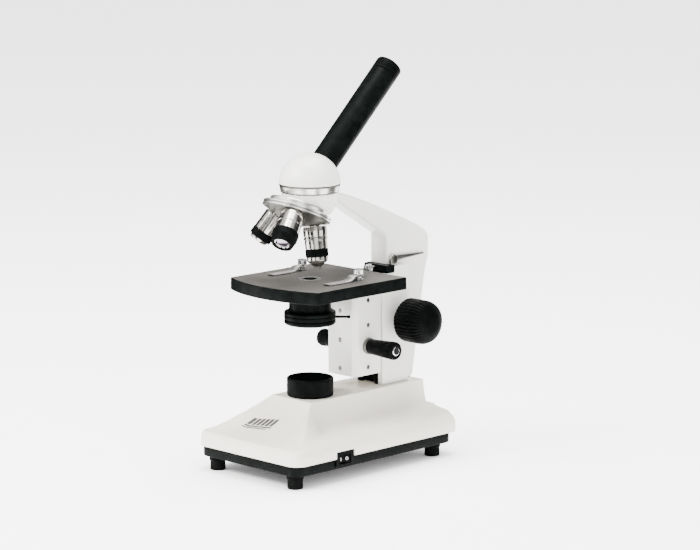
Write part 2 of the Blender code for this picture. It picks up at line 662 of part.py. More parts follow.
def tube_place():
    """The eyepiece tube's frame: its origin in the dome's centre and its Z up the tilted tube."""
    return Matrix.Translation((0, 0, BAND_TOP)) @ Matrix.Rotation(-TUBE_TILT, 4, "X")


def head():
    """The head that swivels on the arm: band, dome, prism, tube and eyepiece."""
    band_top = BAND_TOP - 0.1
    band = [(23, BOWL_TOP + GAP), (26.9, BOWL_TOP + GAP), (DOME_RADIUS, band_top), (23, band_top)]
    piece("head_band", turned(band), "chrome")
    low = BAND_TOP + GAP
    outer = [(DOME_RADIUS, low)]
    inner = [(25.3, low)]
    for angle in (15, 31, 47, 62, 77):
        angle = math.radians(angle)
        outer.append((DOME_RADIUS * math.cos(angle), low + (DOME_RADIUS - GAP) * math.sin(angle)))
        inner.append((25.3 * math.cos(angle), low + 25.0 * math.sin(angle)))
    profile = outer + [(0, low + DOME_RADIUS - GAP), (0, low + 25.0)] + inner[::-1]
    dome = piece("head_dome", turned(profile), "enamel")
    shape_with(dome, tube_hole())
    tube = [(TUBE_BORE, 21), (TUBE_RADIUS, 21), (TUBE_RADIUS, TUBE_END), (TUBE_BORE, TUBE_END)]
    piece("eyepiece_tube", turned(tube, ROUND, tube_place()), "black_enamel")
    low_edge, high_edge = BOWL_TOP + 2, BOWL_TOP + 18
    wedge = [(-8, low_edge), (8, low_edge), (8, high_edge - 9), (-8, high_edge)]
    piece("prism", extruded(wedge, -8, 8, "X"), "glass")
    end = EYEPIECE_END
    barrel = [(10.2, 90), (11.5, 90), (11.5, TUBE_END + GAP), (TUBE_RADIUS, TUBE_END + GAP)]
    barrel += [(TUBE_RADIUS, end - 0.8), (TUBE_RADIUS - 0.8, end), (9.4, end), (8.5, end - 2.2)]
    barrel += [(8.5, end - 8.5), (10.2, end - 9)]
    piece("eyepiece", turned(barrel, ROUND, tube_place()), "black_plastic", (0, 0, BAND_TOP))
    lens = [(0, end - 7.4), (8.1, end - 6.4), (8.1, end - 3.4), (0, end - 2.4)]
    piece("eye_lens", turned(lens, SMALL_ROUND, tube_place()), "glass", (0, 0, BAND_TOP))


def tube_hole():
    """The bore for the tube through the dome's wall."""
    profile = [(0, 15), (TUBE_RADIUS + 0.25, 15), (TUBE_RADIUS + 0.25, 60), (0, 60)]
    return turned(profile, ROUND, tube_place())


# ---------------------------------------------------------------- nosepiece

NECK = [(0, 44.5), (4.7, 44.5), (4.7, OBJECTIVE_SEAT), (10.4, OBJECTIVE_SEAT)]
OBJECTIVES = {
    "objective_40x": {
        "azimuth": TURRET_REST,
        "barrel": [(11.2, 55.4), (10.7, 62.0), (11.0, 62.4), (11.0, 64.8), (10.4, 65.4), (10.2, 72.8),
                   (8.9, 72.8), (8.9, 80.6), (9.8, 80.6), (9.6, 83.8), (7.4, 86.2), (5.8, 87.0),
                   (4.4, 88.6), (3.4, 89.2), (3.4, 91.4), (0, 91.4)],
        "grip": [(9.2, 73.1), (10.6, 73.1), (10.6, 80.3), (9.2, 80.3)],
    },
    "objective_10x": {
        "azimuth": TURRET_REST - 120,
        "barrel": [(10.8, 55.6), (11.6, 72.6), (8.9, 72.6), (8.9, 80.4), (7.6, 80.4), (7.6, 84.6),
                   (6.4, 84.9), (5.8, 83.6), (0, 83.6)],
        "grip": [(9.2, 72.9), (12.0, 72.9), (12.0, 79.0), (10.0, 85.6), (7.9, 85.6), (7.9, 80.7),
                 (9.2, 80.7)],
    },
    "objective_4x": {
        "azimuth": TURRET_REST + 120,
        "barrel": [(10.6, 55.6), (10.6, 70.4), (8.9, 70.4), (8.9, 78.2), (9.3, 78.2), (8.7, 80.0),
                   (7.4, 81.1), (5.6, 81.1), (5.2, 79.8), (0, 79.8)],
        "grip": [(9.2, 70.7), (10.9, 70.7), (10.9, 77.9), (9.2, 77.9)],
    },
}


def objective_place(azimuth):
    """An objective's frame: its origin where the axes meet and its Z down its own axis."""
    from_disc = Matrix.Translation((0, 0, NOSE_APEX)) @ Matrix.Rotation(math.radians(azimuth), 4, "Z")
    return nose_place() @ from_disc @ Matrix.Rotation(math.pi + NOSE_TILT, 4, "X")


def nosepiece():
    """The fixed mount, the pivot screw, and the turret with its objectives, resting between two clicks."""
    pivot = tuple(NOSE_MIDDLE)
    mount_profile = [(0, 3.05), (27, 3.05), (27, 6.6), (26.4, 7.2), (0, 7.2)]
    mount = piece("nosepiece_mount", turned(mount_profile, ROUND, nose_place()), "chrome")
    shape_with(mount, rod(7, 220, 270, (0, 0)))
    slope = math.tan(NOSE_TILT)
    tip = 2.75 + (CONE_RADIUS - 6) * slope
    turret_profile = [(3.2, -tip), (6, -tip), (CONE_RADIUS, -2.75), (31.6, -2.75), (NOSE_RADIUS, -2.1)]
    turret_profile += [(NOSE_RADIUS, 2.1), (31.6, 2.75), (3.2, 2.75)]
    turret = piece("nosepiece_disc", turned(turret_profile, ROUND, nose_place()), "chrome", pivot)
    screw = [(0, -tip - 3.2), (5.2, -tip - 2.6), (5.2, -tip - GAP), (2.8, -tip - GAP), (2.8, 2.75), (0, 2.75)]
    piece("nosepiece_pivot", turned(screw, SMALL_ROUND, nose_place()), "steel")
    for name, lens in OBJECTIVES.items():
        place = objective_place(lens["azimuth"])
        hole = [(0, 30), (5.0, 30), (5.0, OBJECTIVE_SEAT + 3), (0, OBJECTIVE_SEAT + 3)]
        shape_with(turret, turned(hole, 12, place))
        piece(name, turned(NECK + lens["barrel"], 16, place), "chrome", pivot)
        piece(name + "_grip", turned(lens["grip"], 16, place), "black_plastic", pivot)


# ---------------------------------------------------------------- lever and stop screw

def clamp_lever():
    """A tapered lever with a round hub on the right side of the arm."""
    x, y, z = LEVER_PIVOT
    hub = [(0, x - 4.6), (2.1, x - 4.6), (2.1, x), (5.2, x), (5.2, x + 2.6), (4.4, x + 4.2), (0, x + 4.2)]
    lever = piece("clamp_lever", turned(hub, 20, axis_place((y, z), "X")), "chrome", LEVER_PIVOT)
    tip_y, tip_z = 139.2, 186.2
    outline = [(y + 2, z - 2.2), (tip_y - 1.5, tip_z - 0.9), (tip_y, tip_z)]
    outline += [(tip_y - 1.5, tip_z + 0.9), (y + 2, z + 4.2)]
    shape_with(lever, extruded(outline, x + 0.3, x + 2.4, "X"), "UNION")


def stop_screw():
    """A knurled thumbscrew in the guide cap that limits the stage's travel."""
    x, y, z = STOP_SCREW
    profile = [(0, y), (3.4, y), (4.2, y + 0.8), (4.2, y + 5.6), (1.7, y + 6.0), (1.7, STOP_SCREW_END),
               (0, STOP_SCREW_END)]
    piece("stop_screw", turned(profile, SMALL_ROUND, axis_place((z, x), "Y")), "chrome", STOP_SCREW)


def build():
    base_shell()
    base_plate()
    feet()
    lamp()
    switch()
    power_inlet()
    arm()
    guide_rail()
    carriage_block()
    coarse_focus()
    fine_focus()
    stage()
    condenser()
    head()
    nosepiece()
    clamp_lever()
    stop_screw()


build()
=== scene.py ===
"""Fine surfaces and finishes for a student microscope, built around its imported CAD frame.

Meshes are drawn in millimetres in the design frame, which has the optical axis at x = y = 0 and the
table at z = 0. The frame's joints say where that axis stands in the shared frame.
"""
import json
import random
from math import asin, atan2, cos, pi, radians, sin, sqrt, tan

import bmesh
import bpy
import numpy as np
from mathutils import Matrix, Vector

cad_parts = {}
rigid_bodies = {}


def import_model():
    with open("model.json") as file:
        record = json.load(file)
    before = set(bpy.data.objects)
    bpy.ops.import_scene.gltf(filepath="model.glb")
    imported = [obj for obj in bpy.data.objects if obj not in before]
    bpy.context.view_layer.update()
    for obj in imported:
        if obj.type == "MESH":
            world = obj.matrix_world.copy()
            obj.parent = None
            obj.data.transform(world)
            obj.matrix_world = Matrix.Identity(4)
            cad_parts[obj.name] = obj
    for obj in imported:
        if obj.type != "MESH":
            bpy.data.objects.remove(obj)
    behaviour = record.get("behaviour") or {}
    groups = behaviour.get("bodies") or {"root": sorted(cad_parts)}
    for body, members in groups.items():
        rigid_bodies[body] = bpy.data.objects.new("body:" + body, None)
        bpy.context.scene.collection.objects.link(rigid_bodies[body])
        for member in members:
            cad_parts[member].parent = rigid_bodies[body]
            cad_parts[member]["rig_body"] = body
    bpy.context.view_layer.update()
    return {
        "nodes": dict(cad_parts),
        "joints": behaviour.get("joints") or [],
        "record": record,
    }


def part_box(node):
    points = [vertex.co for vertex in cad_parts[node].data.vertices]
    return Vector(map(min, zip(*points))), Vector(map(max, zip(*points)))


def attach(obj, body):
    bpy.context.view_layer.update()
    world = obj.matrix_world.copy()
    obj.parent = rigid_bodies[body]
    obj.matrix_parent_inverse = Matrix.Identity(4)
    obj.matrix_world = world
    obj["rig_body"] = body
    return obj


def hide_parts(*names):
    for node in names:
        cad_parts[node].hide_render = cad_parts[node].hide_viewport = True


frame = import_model()
JOINTS = {joint["name"]: joint for joint in frame["joints"]}
RECORD_COLOURS = {item["slot"]: item["base_color"][:3] for item in frame["record"]["materials"]}

MM = 0.001
GAP = 0.3  # clearance between pieces, in millimetres
AXIS_Y = JOINTS["head_swivel"]["pos_m"][1]


def design_box(node):
    """Lowest and highest corners of a CAD node, in millimetres in the design frame."""
    low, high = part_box(node)
    shift = Vector((0, AXIS_Y, 0))
    return (low - shift) / MM, (high - shift) / MM


def design_point(joint):
    """A joint's position in millimetres in the design frame."""
    x, y, z = JOINTS[joint]["pos_m"]
    return Vector((x, y - AXIS_Y, z)) / MM


# ---- sizes read from the frame

SHELL_LOW, SHELL_HIGH = design_box("base_shell")
PLATE_LOW, PLATE_HIGH = design_box("base_plate")
COLLAR_LOW, COLLAR_HIGH = design_box("lamp_collar")
BEZEL_LOW, BEZEL_HIGH = design_box("switch_bezel")
ARM_LOW, ARM_HIGH = design_box("arm")
RAIL_LOW, RAIL_HIGH = design_box("guide_rail")
BLOCK_LOW, BLOCK_HIGH = design_box("carriage_block")
STAGE_LOW, STAGE_HIGH = design_box("stage_plate")
BAND_LOW, BAND_HIGH = design_box("head_band")
DOME_LOW, DOME_HIGH = design_box("head_dome")
COARSE = design_point("coarse_spin")
FINE = design_point("fine_spin")
NOSE = design_point("nosepiece_turn")
NOSE_AXIS = Vector(JOINTS["nosepiece_turn"]["axis"])
NOSE_TILT = atan2(NOSE_AXIS.y, NOSE_AXIS.z)
HEAD_CENTRE = design_point("head_swivel")
TUBE_AXIS = Vector(JOINTS["eyepiece_lift"]["axis"])
TUBE_TILT = atan2(TUBE_AXIS.y, TUBE_AXIS.z)
LEVER = design_point("lever_turn")
SCREW = design_point("stop_screw_turn")
ROCKER = design_point("switch_rock")


# ---- mesh tools

AXIS_TURN = {
    "X": Matrix(((0, 0, 1), (1, 0, 0), (0, 1, 0))).to_4x4(),
    "Y": Matrix(((0, 1, 0), (0, 0, 1), (1, 0, 0))).to_4x4(),
    "Z": Matrix.Identity(4),
}


def axis_place(centre, along):
    """The move that takes a piece turned about Z to an axis along X, Y or Z through centre."""
    return Matrix.Translation(centre) @ AXIS_TURN[along]


def rounded(profile, radius, steps=3, closed=True):
    """The outline with its corners cut back by radius and bridged by smooth bends."""
    result = []
    count = len(profile)
    for index, point in enumerate(profile):
        here = Vector(point)
        if point[0] == 0 or (not closed and index in (0, count - 1)):
            result.append(tuple(here))
            continue
        before = Vector(profile[index - 1])
        after = Vector(profile[(index + 1) % count])
        back, ahead = before - here, after - here
        cut = min(radius, 0.45 * back.length, 0.45 * ahead.length)
        start = here + back.normalized() * cut
        end = here + ahead.normalized() * cut
        for step in range(steps + 1):
            t = step / steps
            result.append(tuple((1 - t) ** 2 * start + 2 * t * (1 - t) * here + t ** 2 * end))
    return result


def turned(profile, sides=96, ripple=None):
    """A closed (radius, height) outline turned about Z. ripple(angle, radius, height) moves each radius."""
    mesh = bmesh.new()
    rings = []
    for radius, height in profile:
        ring = []
        for step in range(sides if radius > 1e-6 else 1):
            angle = 2 * pi * step / sides
            reach = ripple(angle, radius, height) if ripple else radius
            ring.append(mesh.verts.new((reach * cos(angle), reach * sin(angle), height)))
        rings.append(ring)
    for ring, following in zip(rings, rings[1:] + rings[:1]):
        if len(ring) == 1 and len(following) == 1:
            continue
        for step in range(sides):
            after = step + 1
            corners = (ring[step % len(ring)], ring[after % len(ring)],
                       following[after % len(following)], following[step % len(following)])
            mesh.faces.new(list(dict.fromkeys(corners)))
    return face_outwards(mesh)


def face_outwards(mesh):
    bmesh.ops.recalc_face_normals(mesh, faces=mesh.faces)
    return mesh


def pin(radius, low, high, sides=32):
    """A plain cylinder about Z."""
    return turned([(0, low), (radius, low), (radius, high), (0, high)], sides)


def crown(radius, low, rise, steps):
    """A quarter of an ellipse, from the wall at low up to the axis."""
    angles = [pi / 2 * step / steps for step in range(steps)]
    return [(radius * cos(angle), low + rise * sin(angle)) for angle in angles] + [(0, low + rise)]


def flutes(teeth, depth, low, high, power=1.0):
    """A ripple that cuts straight grooves between two heights."""
    def ripple(angle, radius, height):
        if not low <= height <= high:
            return radius
        wave = 0.5 - 0.5 * cos(teeth * angle)
        return radius - depth * wave ** power
    return ripple


def diamonds(teeth, depth, low, high, slant):
    """A ripple that cuts a crossed knurl between two heights; slant is radians of twist per millimetre."""
    def ripple(angle, radius, height):
        if not low <= height <= high:
            return radius
        first = abs(sin(teeth * 0.5 * (angle + slant * (height - low))))
        second = abs(sin(teeth * 0.5 * (angle - slant * (height - low))))
        return radius - depth * (1 - min(first, second))
    return ripple


def filled_band(radius, low, high, step):
    """Points up a straight wall, close enough together for a knurl."""
    count = max(2, round((high - low) / step))
    return [(radius, low + (high - low) * index / count) for index in range(count + 1)]


def quads(mesh, rows, around=False):
    """Faces between rows of vertices; around also joins each row's end to its start."""
    for row, following in zip(rows, rows[1:]):
        for step in range(len(row) if around else len(row) - 1):
            after = (step + 1) % len(row)
            mesh.faces.new((row[step], row[after], following[after], following[step]))


def close_loops(mesh, loops):
    """A closed body through loops of vertices."""
    quads(mesh, loops, True)
    mesh.faces.new(loops[0])
    mesh.faces.new(loops[-1])
    return face_outwards(mesh)


def extruded(outline, low, high, along="Z"):
    """A flat outline stood up from low to high along an axis."""
    mesh = bmesh.new()
    close_loops(mesh, [[mesh.verts.new((a, b, height)) for a, b in outline] for height in (low, high)])
    mesh.transform(AXIS_TURN[along])
    return mesh


def box(x_range, y_range, z_range):
    (x0, x1), (y0, y1) = x_range, y_range
    return extruded([(x0, y0), (x1, y0), (x1, y1), (x0, y1)], z_range[0], z_range[1])


def rounded_rectangle(x_range, y_range, radius, steps=10):
    (x0, x1), (y0, y1) = x_range, y_range
    corners = ((x1 - radius, y1 - radius), (x0 + radius, y1 - radius),
               (x0 + radius, y0 + radius), (x1 - radius, y0 + radius))
    outline = []
    for quarter, (cx, cy) in enumerate(corners):
        for step in range(steps + 1):
            angle = pi / 2 * (quarter + step / steps)
            outline.append((cx + radius * cos(angle), cy + radius * sin(angle)))
    return outline


def make_object(name, mesh, place=Matrix.Identity(4)):
    """An object from a millimetre mesh; place is its move in the design frame."""
    mesh.transform(Matrix.Scale(MM, 4))
    data = bpy.data.meshes.new(name)
    mesh.to_mesh(data)
    mesh.free()
    item = bpy.data.objects.new(name, data)
    bpy.context.scene.collection.objects.link(item)
    move = place.copy()
    move.translation = move.translation * MM + Vector((0, AXIS_Y, 0))
    item.matrix_world = move
    bpy.context.view_layer.update()
    return item


def fine(node, mesh, place=Matrix.Identity(4)):
    """The fine object that stands in for a CAD node."""
    return make_object(node + "_fine", mesh, place)


def settle(item):
    """Apply an object's modifiers to its mesh."""
    bpy.context.view_layer.update()
    evaluated = item.evaluated_get(bpy.context.evaluated_depsgraph_get())
    data = bpy.data.meshes.new_from_object(evaluated)
    item.modifiers.clear()
    item.data = data
    return item


def bevel(item, width, segments=4, angle=40):
    modifier = item.modifiers.new("bevel", "BEVEL")
    modifier.width = width * MM
    modifier.segments = segments
    modifier.limit_method = "ANGLE"
    modifier.angle_limit = radians(angle)
    modifier.harden_normals = False
    return settle(item)


def combine(item, mesh, operation="DIFFERENCE", place=Matrix.Identity(4), edge=0.0):
    """Cut a mesh from an object, or unite it, and throw the tool away."""
    tool = make_object("tool", mesh, place)
    if edge:
        bevel(tool, edge)
    modifier = item.modifiers.new("boolean", "BOOLEAN")
    modifier.operation = operation
    modifier.solver = "EXACT"
    modifier.object = tool
    settle(item)
    bpy.data.objects.remove(tool)
    return item


def paint(item, material):
    item.data.materials.clear()
    item.data.materials.append(material)


def finish_piece(item, material, sharp=32, body=None):
    """Shade an object, give it its material and hang it on its body.

    One that fine() made replaces its CAD node, which it hides, and takes that node's body.
    """
    paint(item, material)
    item.data.shade_smooth()
    item.data.set_sharp_from_angle(angle=radians(sharp))
    node = item.name.removesuffix("_fine")
    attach(item, body or frame["nodes"][node]["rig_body"])
    if not body:
        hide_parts(node)
    return item


# ---- materials

def set_inputs(node, **values):
    """Set a node's inputs by name; an underscore stands for a space."""
    for name, value in values.items():
        node.inputs[name.replace("_", " ")].default_value = value
    return node


def add_node(tree, kind, **values):
    return set_inputs(tree.nodes.new("ShaderNode" + kind), **values)


class Finish:
    """A Principled material with a few procedural layers."""

    def __init__(self, name, colour, roughness, metallic=0.0):
        self.material = bpy.data.materials.new(name)
        self.material.use_nodes = True
        self.tree = self.material.node_tree
        self.link = self.tree.links.new
        self.shader = self.tree.nodes["Principled BSDF"]
        self.set(Base_Color=(*colour, 1), Roughness=roughness, Metallic=metallic)
        self.place = add_node(self.tree, "TexCoord")
        self.normal = None

    def set(self, **values):
        set_inputs(self.shader, **values)

    def noise(self, scale, detail=3.0, stretch=(1, 1, 1), rough=0.55):
        """A noise value in object space; scale is in cells per metre."""
        mapping = add_node(self.tree, "Mapping", Scale=stretch)
        self.link(self.place.outputs["Object"], mapping.inputs["Vector"])
        noise = add_node(self.tree, "TexNoise", Scale=scale, Detail=detail, Roughness=rough)
        self.link(mapping.outputs["Vector"], noise.inputs["Vector"])
        return noise.outputs["Fac"]

    def ramp(self, value, low, high, start=0.3, end=0.7):
        """A value mapped from start..end to low..high."""
        node = add_node(self.tree, "MapRange", From_Min=start, From_Max=end, To_Min=low, To_Max=high)
        self.link(value, node.inputs["Value"])
        return node.outputs["Result"]

    def vary_roughness(self, value, low, high):
        self.link(self.ramp(value, low, high), self.shader.inputs["Roughness"])

    def vary_colour(self, value, first, second):
        mix = add_node(self.tree, "Mix")
        mix.data_type = "RGBA"
        set_inputs(mix, A=(*first, 1), B=(*second, 1))
        self.link(self.ramp(value, 0, 1), mix.inputs["Factor"])
        self.link(mix.outputs["Result"], self.shader.inputs["Base Color"])

    def bump(self, value, height, strength):
        """Raise the surface by a value; height is in millimetres. Calls stack up."""
        node = add_node(self.tree, "Bump", Distance=height * MM, Strength=strength)
        self.link(value, node.inputs["Height"])
        if self.normal:
            self.link(self.normal, node.inputs["Normal"])
        self.normal = node.outputs["Normal"]
        self.link(self.normal, self.shader.inputs["Normal"])


def shade(colour, factor):
    return tuple(min(1, channel * factor) for channel in colour)


def enamel_finish(name, colour, grain, roughness):
    """Stove enamel or moulded plastic: faint orange peel, patchy gloss and a slight change of tone."""
    finish = Finish(name, colour, roughness)
    finish.vary_colour(finish.noise(28, 4), shade(colour, 0.965), shade(colour, 1.015))
    finish.vary_roughness(finish.noise(90, 5), roughness - 0.05, roughness + 0.08)
    finish.bump(finish.noise(grain, 2), 0.05, 0.35)
    finish.bump(finish.noise(60, 2), 0.12, 0.25)
    finish.set(Coat_Weight=0.25, Coat_Roughness=0.18)
    return finish.material


def satin_black_finish(name, colour, grain=2600, roughness=0.38):
    """Satin black enamel with a fine texture and rubbed patches."""
    finish = Finish(name, colour, roughness)
    finish.set(Specular_IOR_Level=0.03)
    finish.vary_colour(finish.noise(130, 6), shade(colour, 0.05), shade(colour, 0.16))
    finish.vary_roughness(finish.noise(75, 5), roughness - 0.07, roughness + 0.1)
    finish.bump(finish.noise(grain, 2), 0.04, 0.5)
    return finish.material


def stage_finish():
    """The stage's top: matt brown-black, worn lighter, with fine lines from slides."""
    finish = Finish("stage_top_finish", (0.085, 0.077, 0.07), 0.45)
    wear = finish.noise(35, 6, (1, 1, 1), 0.65)
    finish.set(Specular_IOR_Level=0.25)
    finish.vary_colour(wear, (0.042, 0.039, 0.035), (0.068, 0.063, 0.057))
    finish.vary_roughness(finish.noise(900, 3, (0.05, 1, 1)), 0.36, 0.52)
    finish.bump(finish.noise(2200, 2), 0.03, 0.5)
    finish.bump(finish.noise(900, 3, (0.04, 1, 1)), 0.02, 0.4)
    return finish.material


def metal_finish(name, colour, roughness, lines=0.0):
    """Plated or turned metal: fine machining lines, hairline scratches and faint smears."""
    finish = Finish(name, colour, roughness, 1)
    finish.vary_colour(finish.noise(220, 4), shade(colour, 0.93), shade(colour, 1.04))
    finish.vary_roughness(finish.noise(160, 5), max(0.02, roughness - 0.04), roughness + 0.07)
    if lines:
        finish.bump(finish.noise(120, 2, (1, 1, 60)), lines, 0.5)
    finish.bump(finish.noise(1400, 2, (1, 0.08, 1)), 0.004, 0.5)
    return finish.material


def rubber_finish():
    finish = Finish("rubber_finish", RECORD_COLOURS["rubber"], 0.8)
    finish.set(Specular_IOR_Level=0.04)
    finish.vary_colour(finish.noise(160, 5), (0.001, 0.0013, 0.0012), (0.004, 0.0045, 0.004))
    finish.vary_roughness(finish.noise(300, 3), 0.68, 0.86)
    finish.bump(finish.noise(1500, 3), 0.06, 0.5)
    return finish.material


def glass_finish(name, colour, transmission=1.0):
    finish = Finish(name, colour, 0.03)
    finish.set(Transmission_Weight=transmission, IOR=1.52, Coat_Weight=0.4, Coat_Tint=(0.75, 0.7, 1, 1))
    finish.vary_roughness(finish.noise(200, 3), 0.01, 0.05)
    return finish.material


ENAMEL = enamel_finish("enamel_finish", RECORD_COLOURS["enamel"], 1500, 0.34)
MOULDED = enamel_finish("moulded_finish", (0.8, 0.75, 0.66), 2400, 0.42)
BLACK = satin_black_finish("black_enamel_finish", RECORD_COLOURS["black_enamel"])
PLASTIC = satin_black_finish("black_plastic_finish", RECORD_COLOURS["black_plastic"], 3200, 0.42)
STAGE_TOP = stage_finish()
STAGE_EDGE = satin_black_finish("stage_edge_finish", (0.022, 0.03, 0.028), 1800, 0.42)
SATIN_CHROME = metal_finish("satin_chrome_finish", (0.86, 0.85, 0.82), 0.3, 0.006)
BAND_METAL = metal_finish("band_metal_finish", (0.7, 0.69, 0.66), 0.26, 0.006)
# Dark metal: the own colour of the fine knob collars and the clamp screw, and painted shade where darken()
# lays it on bright pieces.
DARK_METAL_AND_SHADE = metal_finish("cast_metal_finish", (0.17, 0.165, 0.15), 0.34, 0.01)
RING_METAL = metal_finish("ring_metal_finish", (0.4, 0.39, 0.37), 0.3, 0.006)
CHROME = metal_finish("chrome_finish", RECORD_COLOURS["chrome"], 0.07)
STEEL = metal_finish("steel_finish", RECORD_COLOURS["steel"], 0.28, 0.01)
DARK_STEEL = metal_finish("dark_steel_finish", (0.16, 0.15, 0.14), 0.35, 0.01)
BRASS = metal_finish("brass_finish", RECORD_COLOURS["brass"], 0.25, 0.01)
OBJECTIVE_CHROME = metal_finish("objective_chrome_finish", (0.56, 0.54, 0.51), 0.15, 0.004)
CONDENSER_GLASS = glass_finish("condenser_glass_finish", (0.02, 0.025, 0.025), 0.15)
COATED = metal_finish("coated_glass_finish", (0.35, 0.3, 0.42), 0.05)
RUBBER = rubber_finish()
GLASS = glass_finish("glass_finish", (0.93, 0.97, 0.97))
MARK_WHITE = enamel_finish("mark_white_finish", (0.75, 0.75, 0.72), 1500, 0.5)
MARK_GREY = enamel_finish("mark_grey_finish", (0.05, 0.05, 0.048), 1500, 0.4)


def darken(item, chosen, material=DARK_METAL_AND_SHADE):
    """Give the chosen faces of a bright piece a darker second material. On the stage plate this is the
    edge's own black; on the head band and the nosepiece disc it is painted shade.
    """
    if len(item.data.materials) == 1:
        item.data.materials.append(material)
    for face in item.data.polygons:
        if chosen(face):
            face.material_index = 1


# ---- base

SKIRT_TOP = 30.0
SKIRT_ROUND = 8.0
SIDE_EDGE = 38.0
FRONT_EDGE = 36.0
CORNER = 12.0
RIDGE_HALF_WIDTH = 26.0
RIDGE_FRONT = -24.0
SIDE_POWER = 7.0
BACK_SHARPENING = 10.0
FRONT_POWER = 3.0
HIP_POWER = 1.2
BRIM_RISE = 5.0
SHELL_WALL = 2.8
PLATE_WALL = 2.0
BADGE_CORNER = Vector((-28.8, -43.3))
BADGE_ACROSS = Vector((30.6, 4))
BADGE_DOWN = Vector((-4.5, -13.6))
BADGE_BARS = 6
SHELL_HALF = SHELL_HIGH.x
RIDGE_BACK = SHELL_HIGH.y - 8.0


def plan_half_width(y):
    from_end = min(y - SHELL_LOW.y, SHELL_HIGH.y - y)
    if from_end >= CORNER:
        return SHELL_HALF
    reach = CORNER - from_end
    return SHELL_HALF - CORNER + sqrt(max(0, CORNER ** 2 - reach ** 2))


def shell_height(x, y):
    """Height of the shell's top: a flat ridge with coved sides and hips out to the front corners."""
    side = max(0, abs(x) - RIDGE_HALF_WIDTH) / (SHELL_HALF - RIDGE_HALF_WIDTH)
    front = max(0, RIDGE_FRONT - y) / (RIDGE_FRONT - SHELL_LOW.y)
    spread = min(1, (side ** 4 + front ** 4) ** 0.25)
    forward = front / (side + front) if spread > 0 else 0.0
    hip = 1 - abs(2 * forward - 1)
    backward = max(0, (y - RIDGE_FRONT) / (RIDGE_BACK - RIDGE_FRONT))
    side_power = SIDE_POWER + BACK_SHARPENING * backward
    flank = side_power + (FRONT_POWER - side_power) * forward
    power = flank + (HIP_POWER - flank) * hip
    edge = SIDE_EDGE + (FRONT_EDGE - SIDE_EDGE) * forward
    height = edge + BRIM_RISE * (1 - spread) + (SHELL_HIGH.z - BRIM_RISE - edge) * (1 - spread) ** power
    if y > RIDGE_BACK:
        height = min(height, SIDE_EDGE + BRIM_RISE + 1)
    inward = min(plan_half_width(y) - abs(x), y - SHELL_LOW.y)
    if inward < SKIRT_ROUND:
        rim = SKIRT_TOP + sqrt(max(0, SKIRT_ROUND ** 2 - (SKIRT_ROUND - inward) ** 2))
        height = min(height, rim)
    return height


def shell_section(y):
    half = plan_half_width(y)
    insets = [SKIRT_ROUND * (1 - cos(radians(angle))) for angle in (0, 15, 30, 45, 60, 75, 90)]
    slope_start = half - SKIRT_ROUND
    xs = [half - inset for inset in insets]
    slope = RIDGE_HALF_WIDTH - slope_start
    xs += [slope_start + slope * sin(pi / 2 * step / 28) for step in range(1, 29)]
    xs += [RIDGE_HALF_WIDTH * (1 - step / 6) for step in range(1, 6)]
    right = [(half, SHELL_LOW.z)] + [(x, shell_height(x, y)) for x in xs]
    left = [(-x, z) for x, z in right]
    return left + [(0, shell_height(0, y))] + right[::-1]


def shell_stations():
    corner = [CORNER * (1 - cos(radians(angle))) for angle in range(0, 91, 9)]
    front = [SHELL_LOW.y + step for step in corner]
    back = [SHELL_HIGH.y - step for step in corner if SHELL_HIGH.y - step > RIDGE_BACK + 0.3]
    back += [RIDGE_BACK + 0.15, RIDGE_BACK - 0.15]
    back += [SHELL_HIGH.y - step for step in corner if SHELL_HIGH.y - step < RIDGE_BACK - 0.3]
    first, last = front[-1], back[-1]
    slope = RIDGE_FRONT - first
    middle = [first + slope * sin(pi / 2 * step / 32) for step in range(1, 33)]
    middle += list(np.linspace(RIDGE_FRONT, last, 30))[1:-1]
    return front + middle + back[::-1]


def bezel_notch(low, high):
    """The cut for the switch bezel, with a gap at its ends."""
    return box((BEZEL_LOW.x - 1, 75), (BEZEL_LOW.y - GAP, BEZEL_HIGH.y + GAP), (low, high))


def base_shell():
    stations = shell_stations()
    middle = (SHELL_LOW.y + SHELL_HIGH.y) / 2
    shrink = 1 - 2 * SHELL_WALL / (SHELL_HIGH.y - SHELL_LOW.y)
    mesh = bmesh.new()
    outer, inner = [], []
    for y in stations:
        section = shell_section(y)
        half = plan_half_width(y)
        outer.append([mesh.verts.new((x, y, z)) for x, z in section])
        narrow = 1 - SHELL_WALL / half
        row = []
        for x, z in section:
            drop = SHELL_WALL if z > SHELL_LOW.z else 0.0
            row.append(mesh.verts.new((x * narrow, middle + (y - middle) * shrink, z - drop)))
        inner.append(row)
    for skin in (outer, inner):
        quads(mesh, skin)
        mesh.faces.new(skin[0])
        mesh.faces.new(skin[-1])
    for (row, following), (lining, next_lining) in zip(zip(outer, outer[1:]), zip(inner, inner[1:])):
        for side in (0, -1):
            mesh.faces.new((row[side], following[side], next_lining[side], lining[side]))
    for end in (0, -1):
        mesh.faces.new((outer[end][0], outer[end][-1], inner[end][-1], inner[end][0]))
    shell = fine("base_shell", face_outwards(mesh))
    combine(shell, pin(17, SHELL_HIGH.z - 12, SHELL_HIGH.z + 10, 64))
    combine(shell, bezel_notch(10, BEZEL_HIGH.z + GAP))
    inlet_low, inlet_high = design_box("power_inlet")
    inlet = (inlet_low + inlet_high) / 2
    combine(shell, pin(6.3, -20, 20), place=axis_place(inlet, "Y"))
    finish_piece(shell, MOULDED, 42)


def base_plate():
    """A pressed tray with rounded lower edges."""
    outline, hollow = [
        rounded_rectangle((PLATE_LOW.x + inset, PLATE_HIGH.x - inset),
                          (PLATE_LOW.y + inset, PLATE_HIGH.y - inset), CORNER - 2.6 - inset)
        for inset in (0, PLATE_WALL)]
    plate = fine("base_plate", extruded(outline, PLATE_LOW.z, PLATE_HIGH.z))
    bevel(plate, 1.1, 4, 60)
    floor = BEZEL_LOW.z - GAP
    combine(plate, extruded(hollow, floor, PLATE_HIGH.z + 5))
    combine(plate, bezel_notch(floor, PLATE_HIGH.z + 5))
    finish_piece(plate, BLACK)


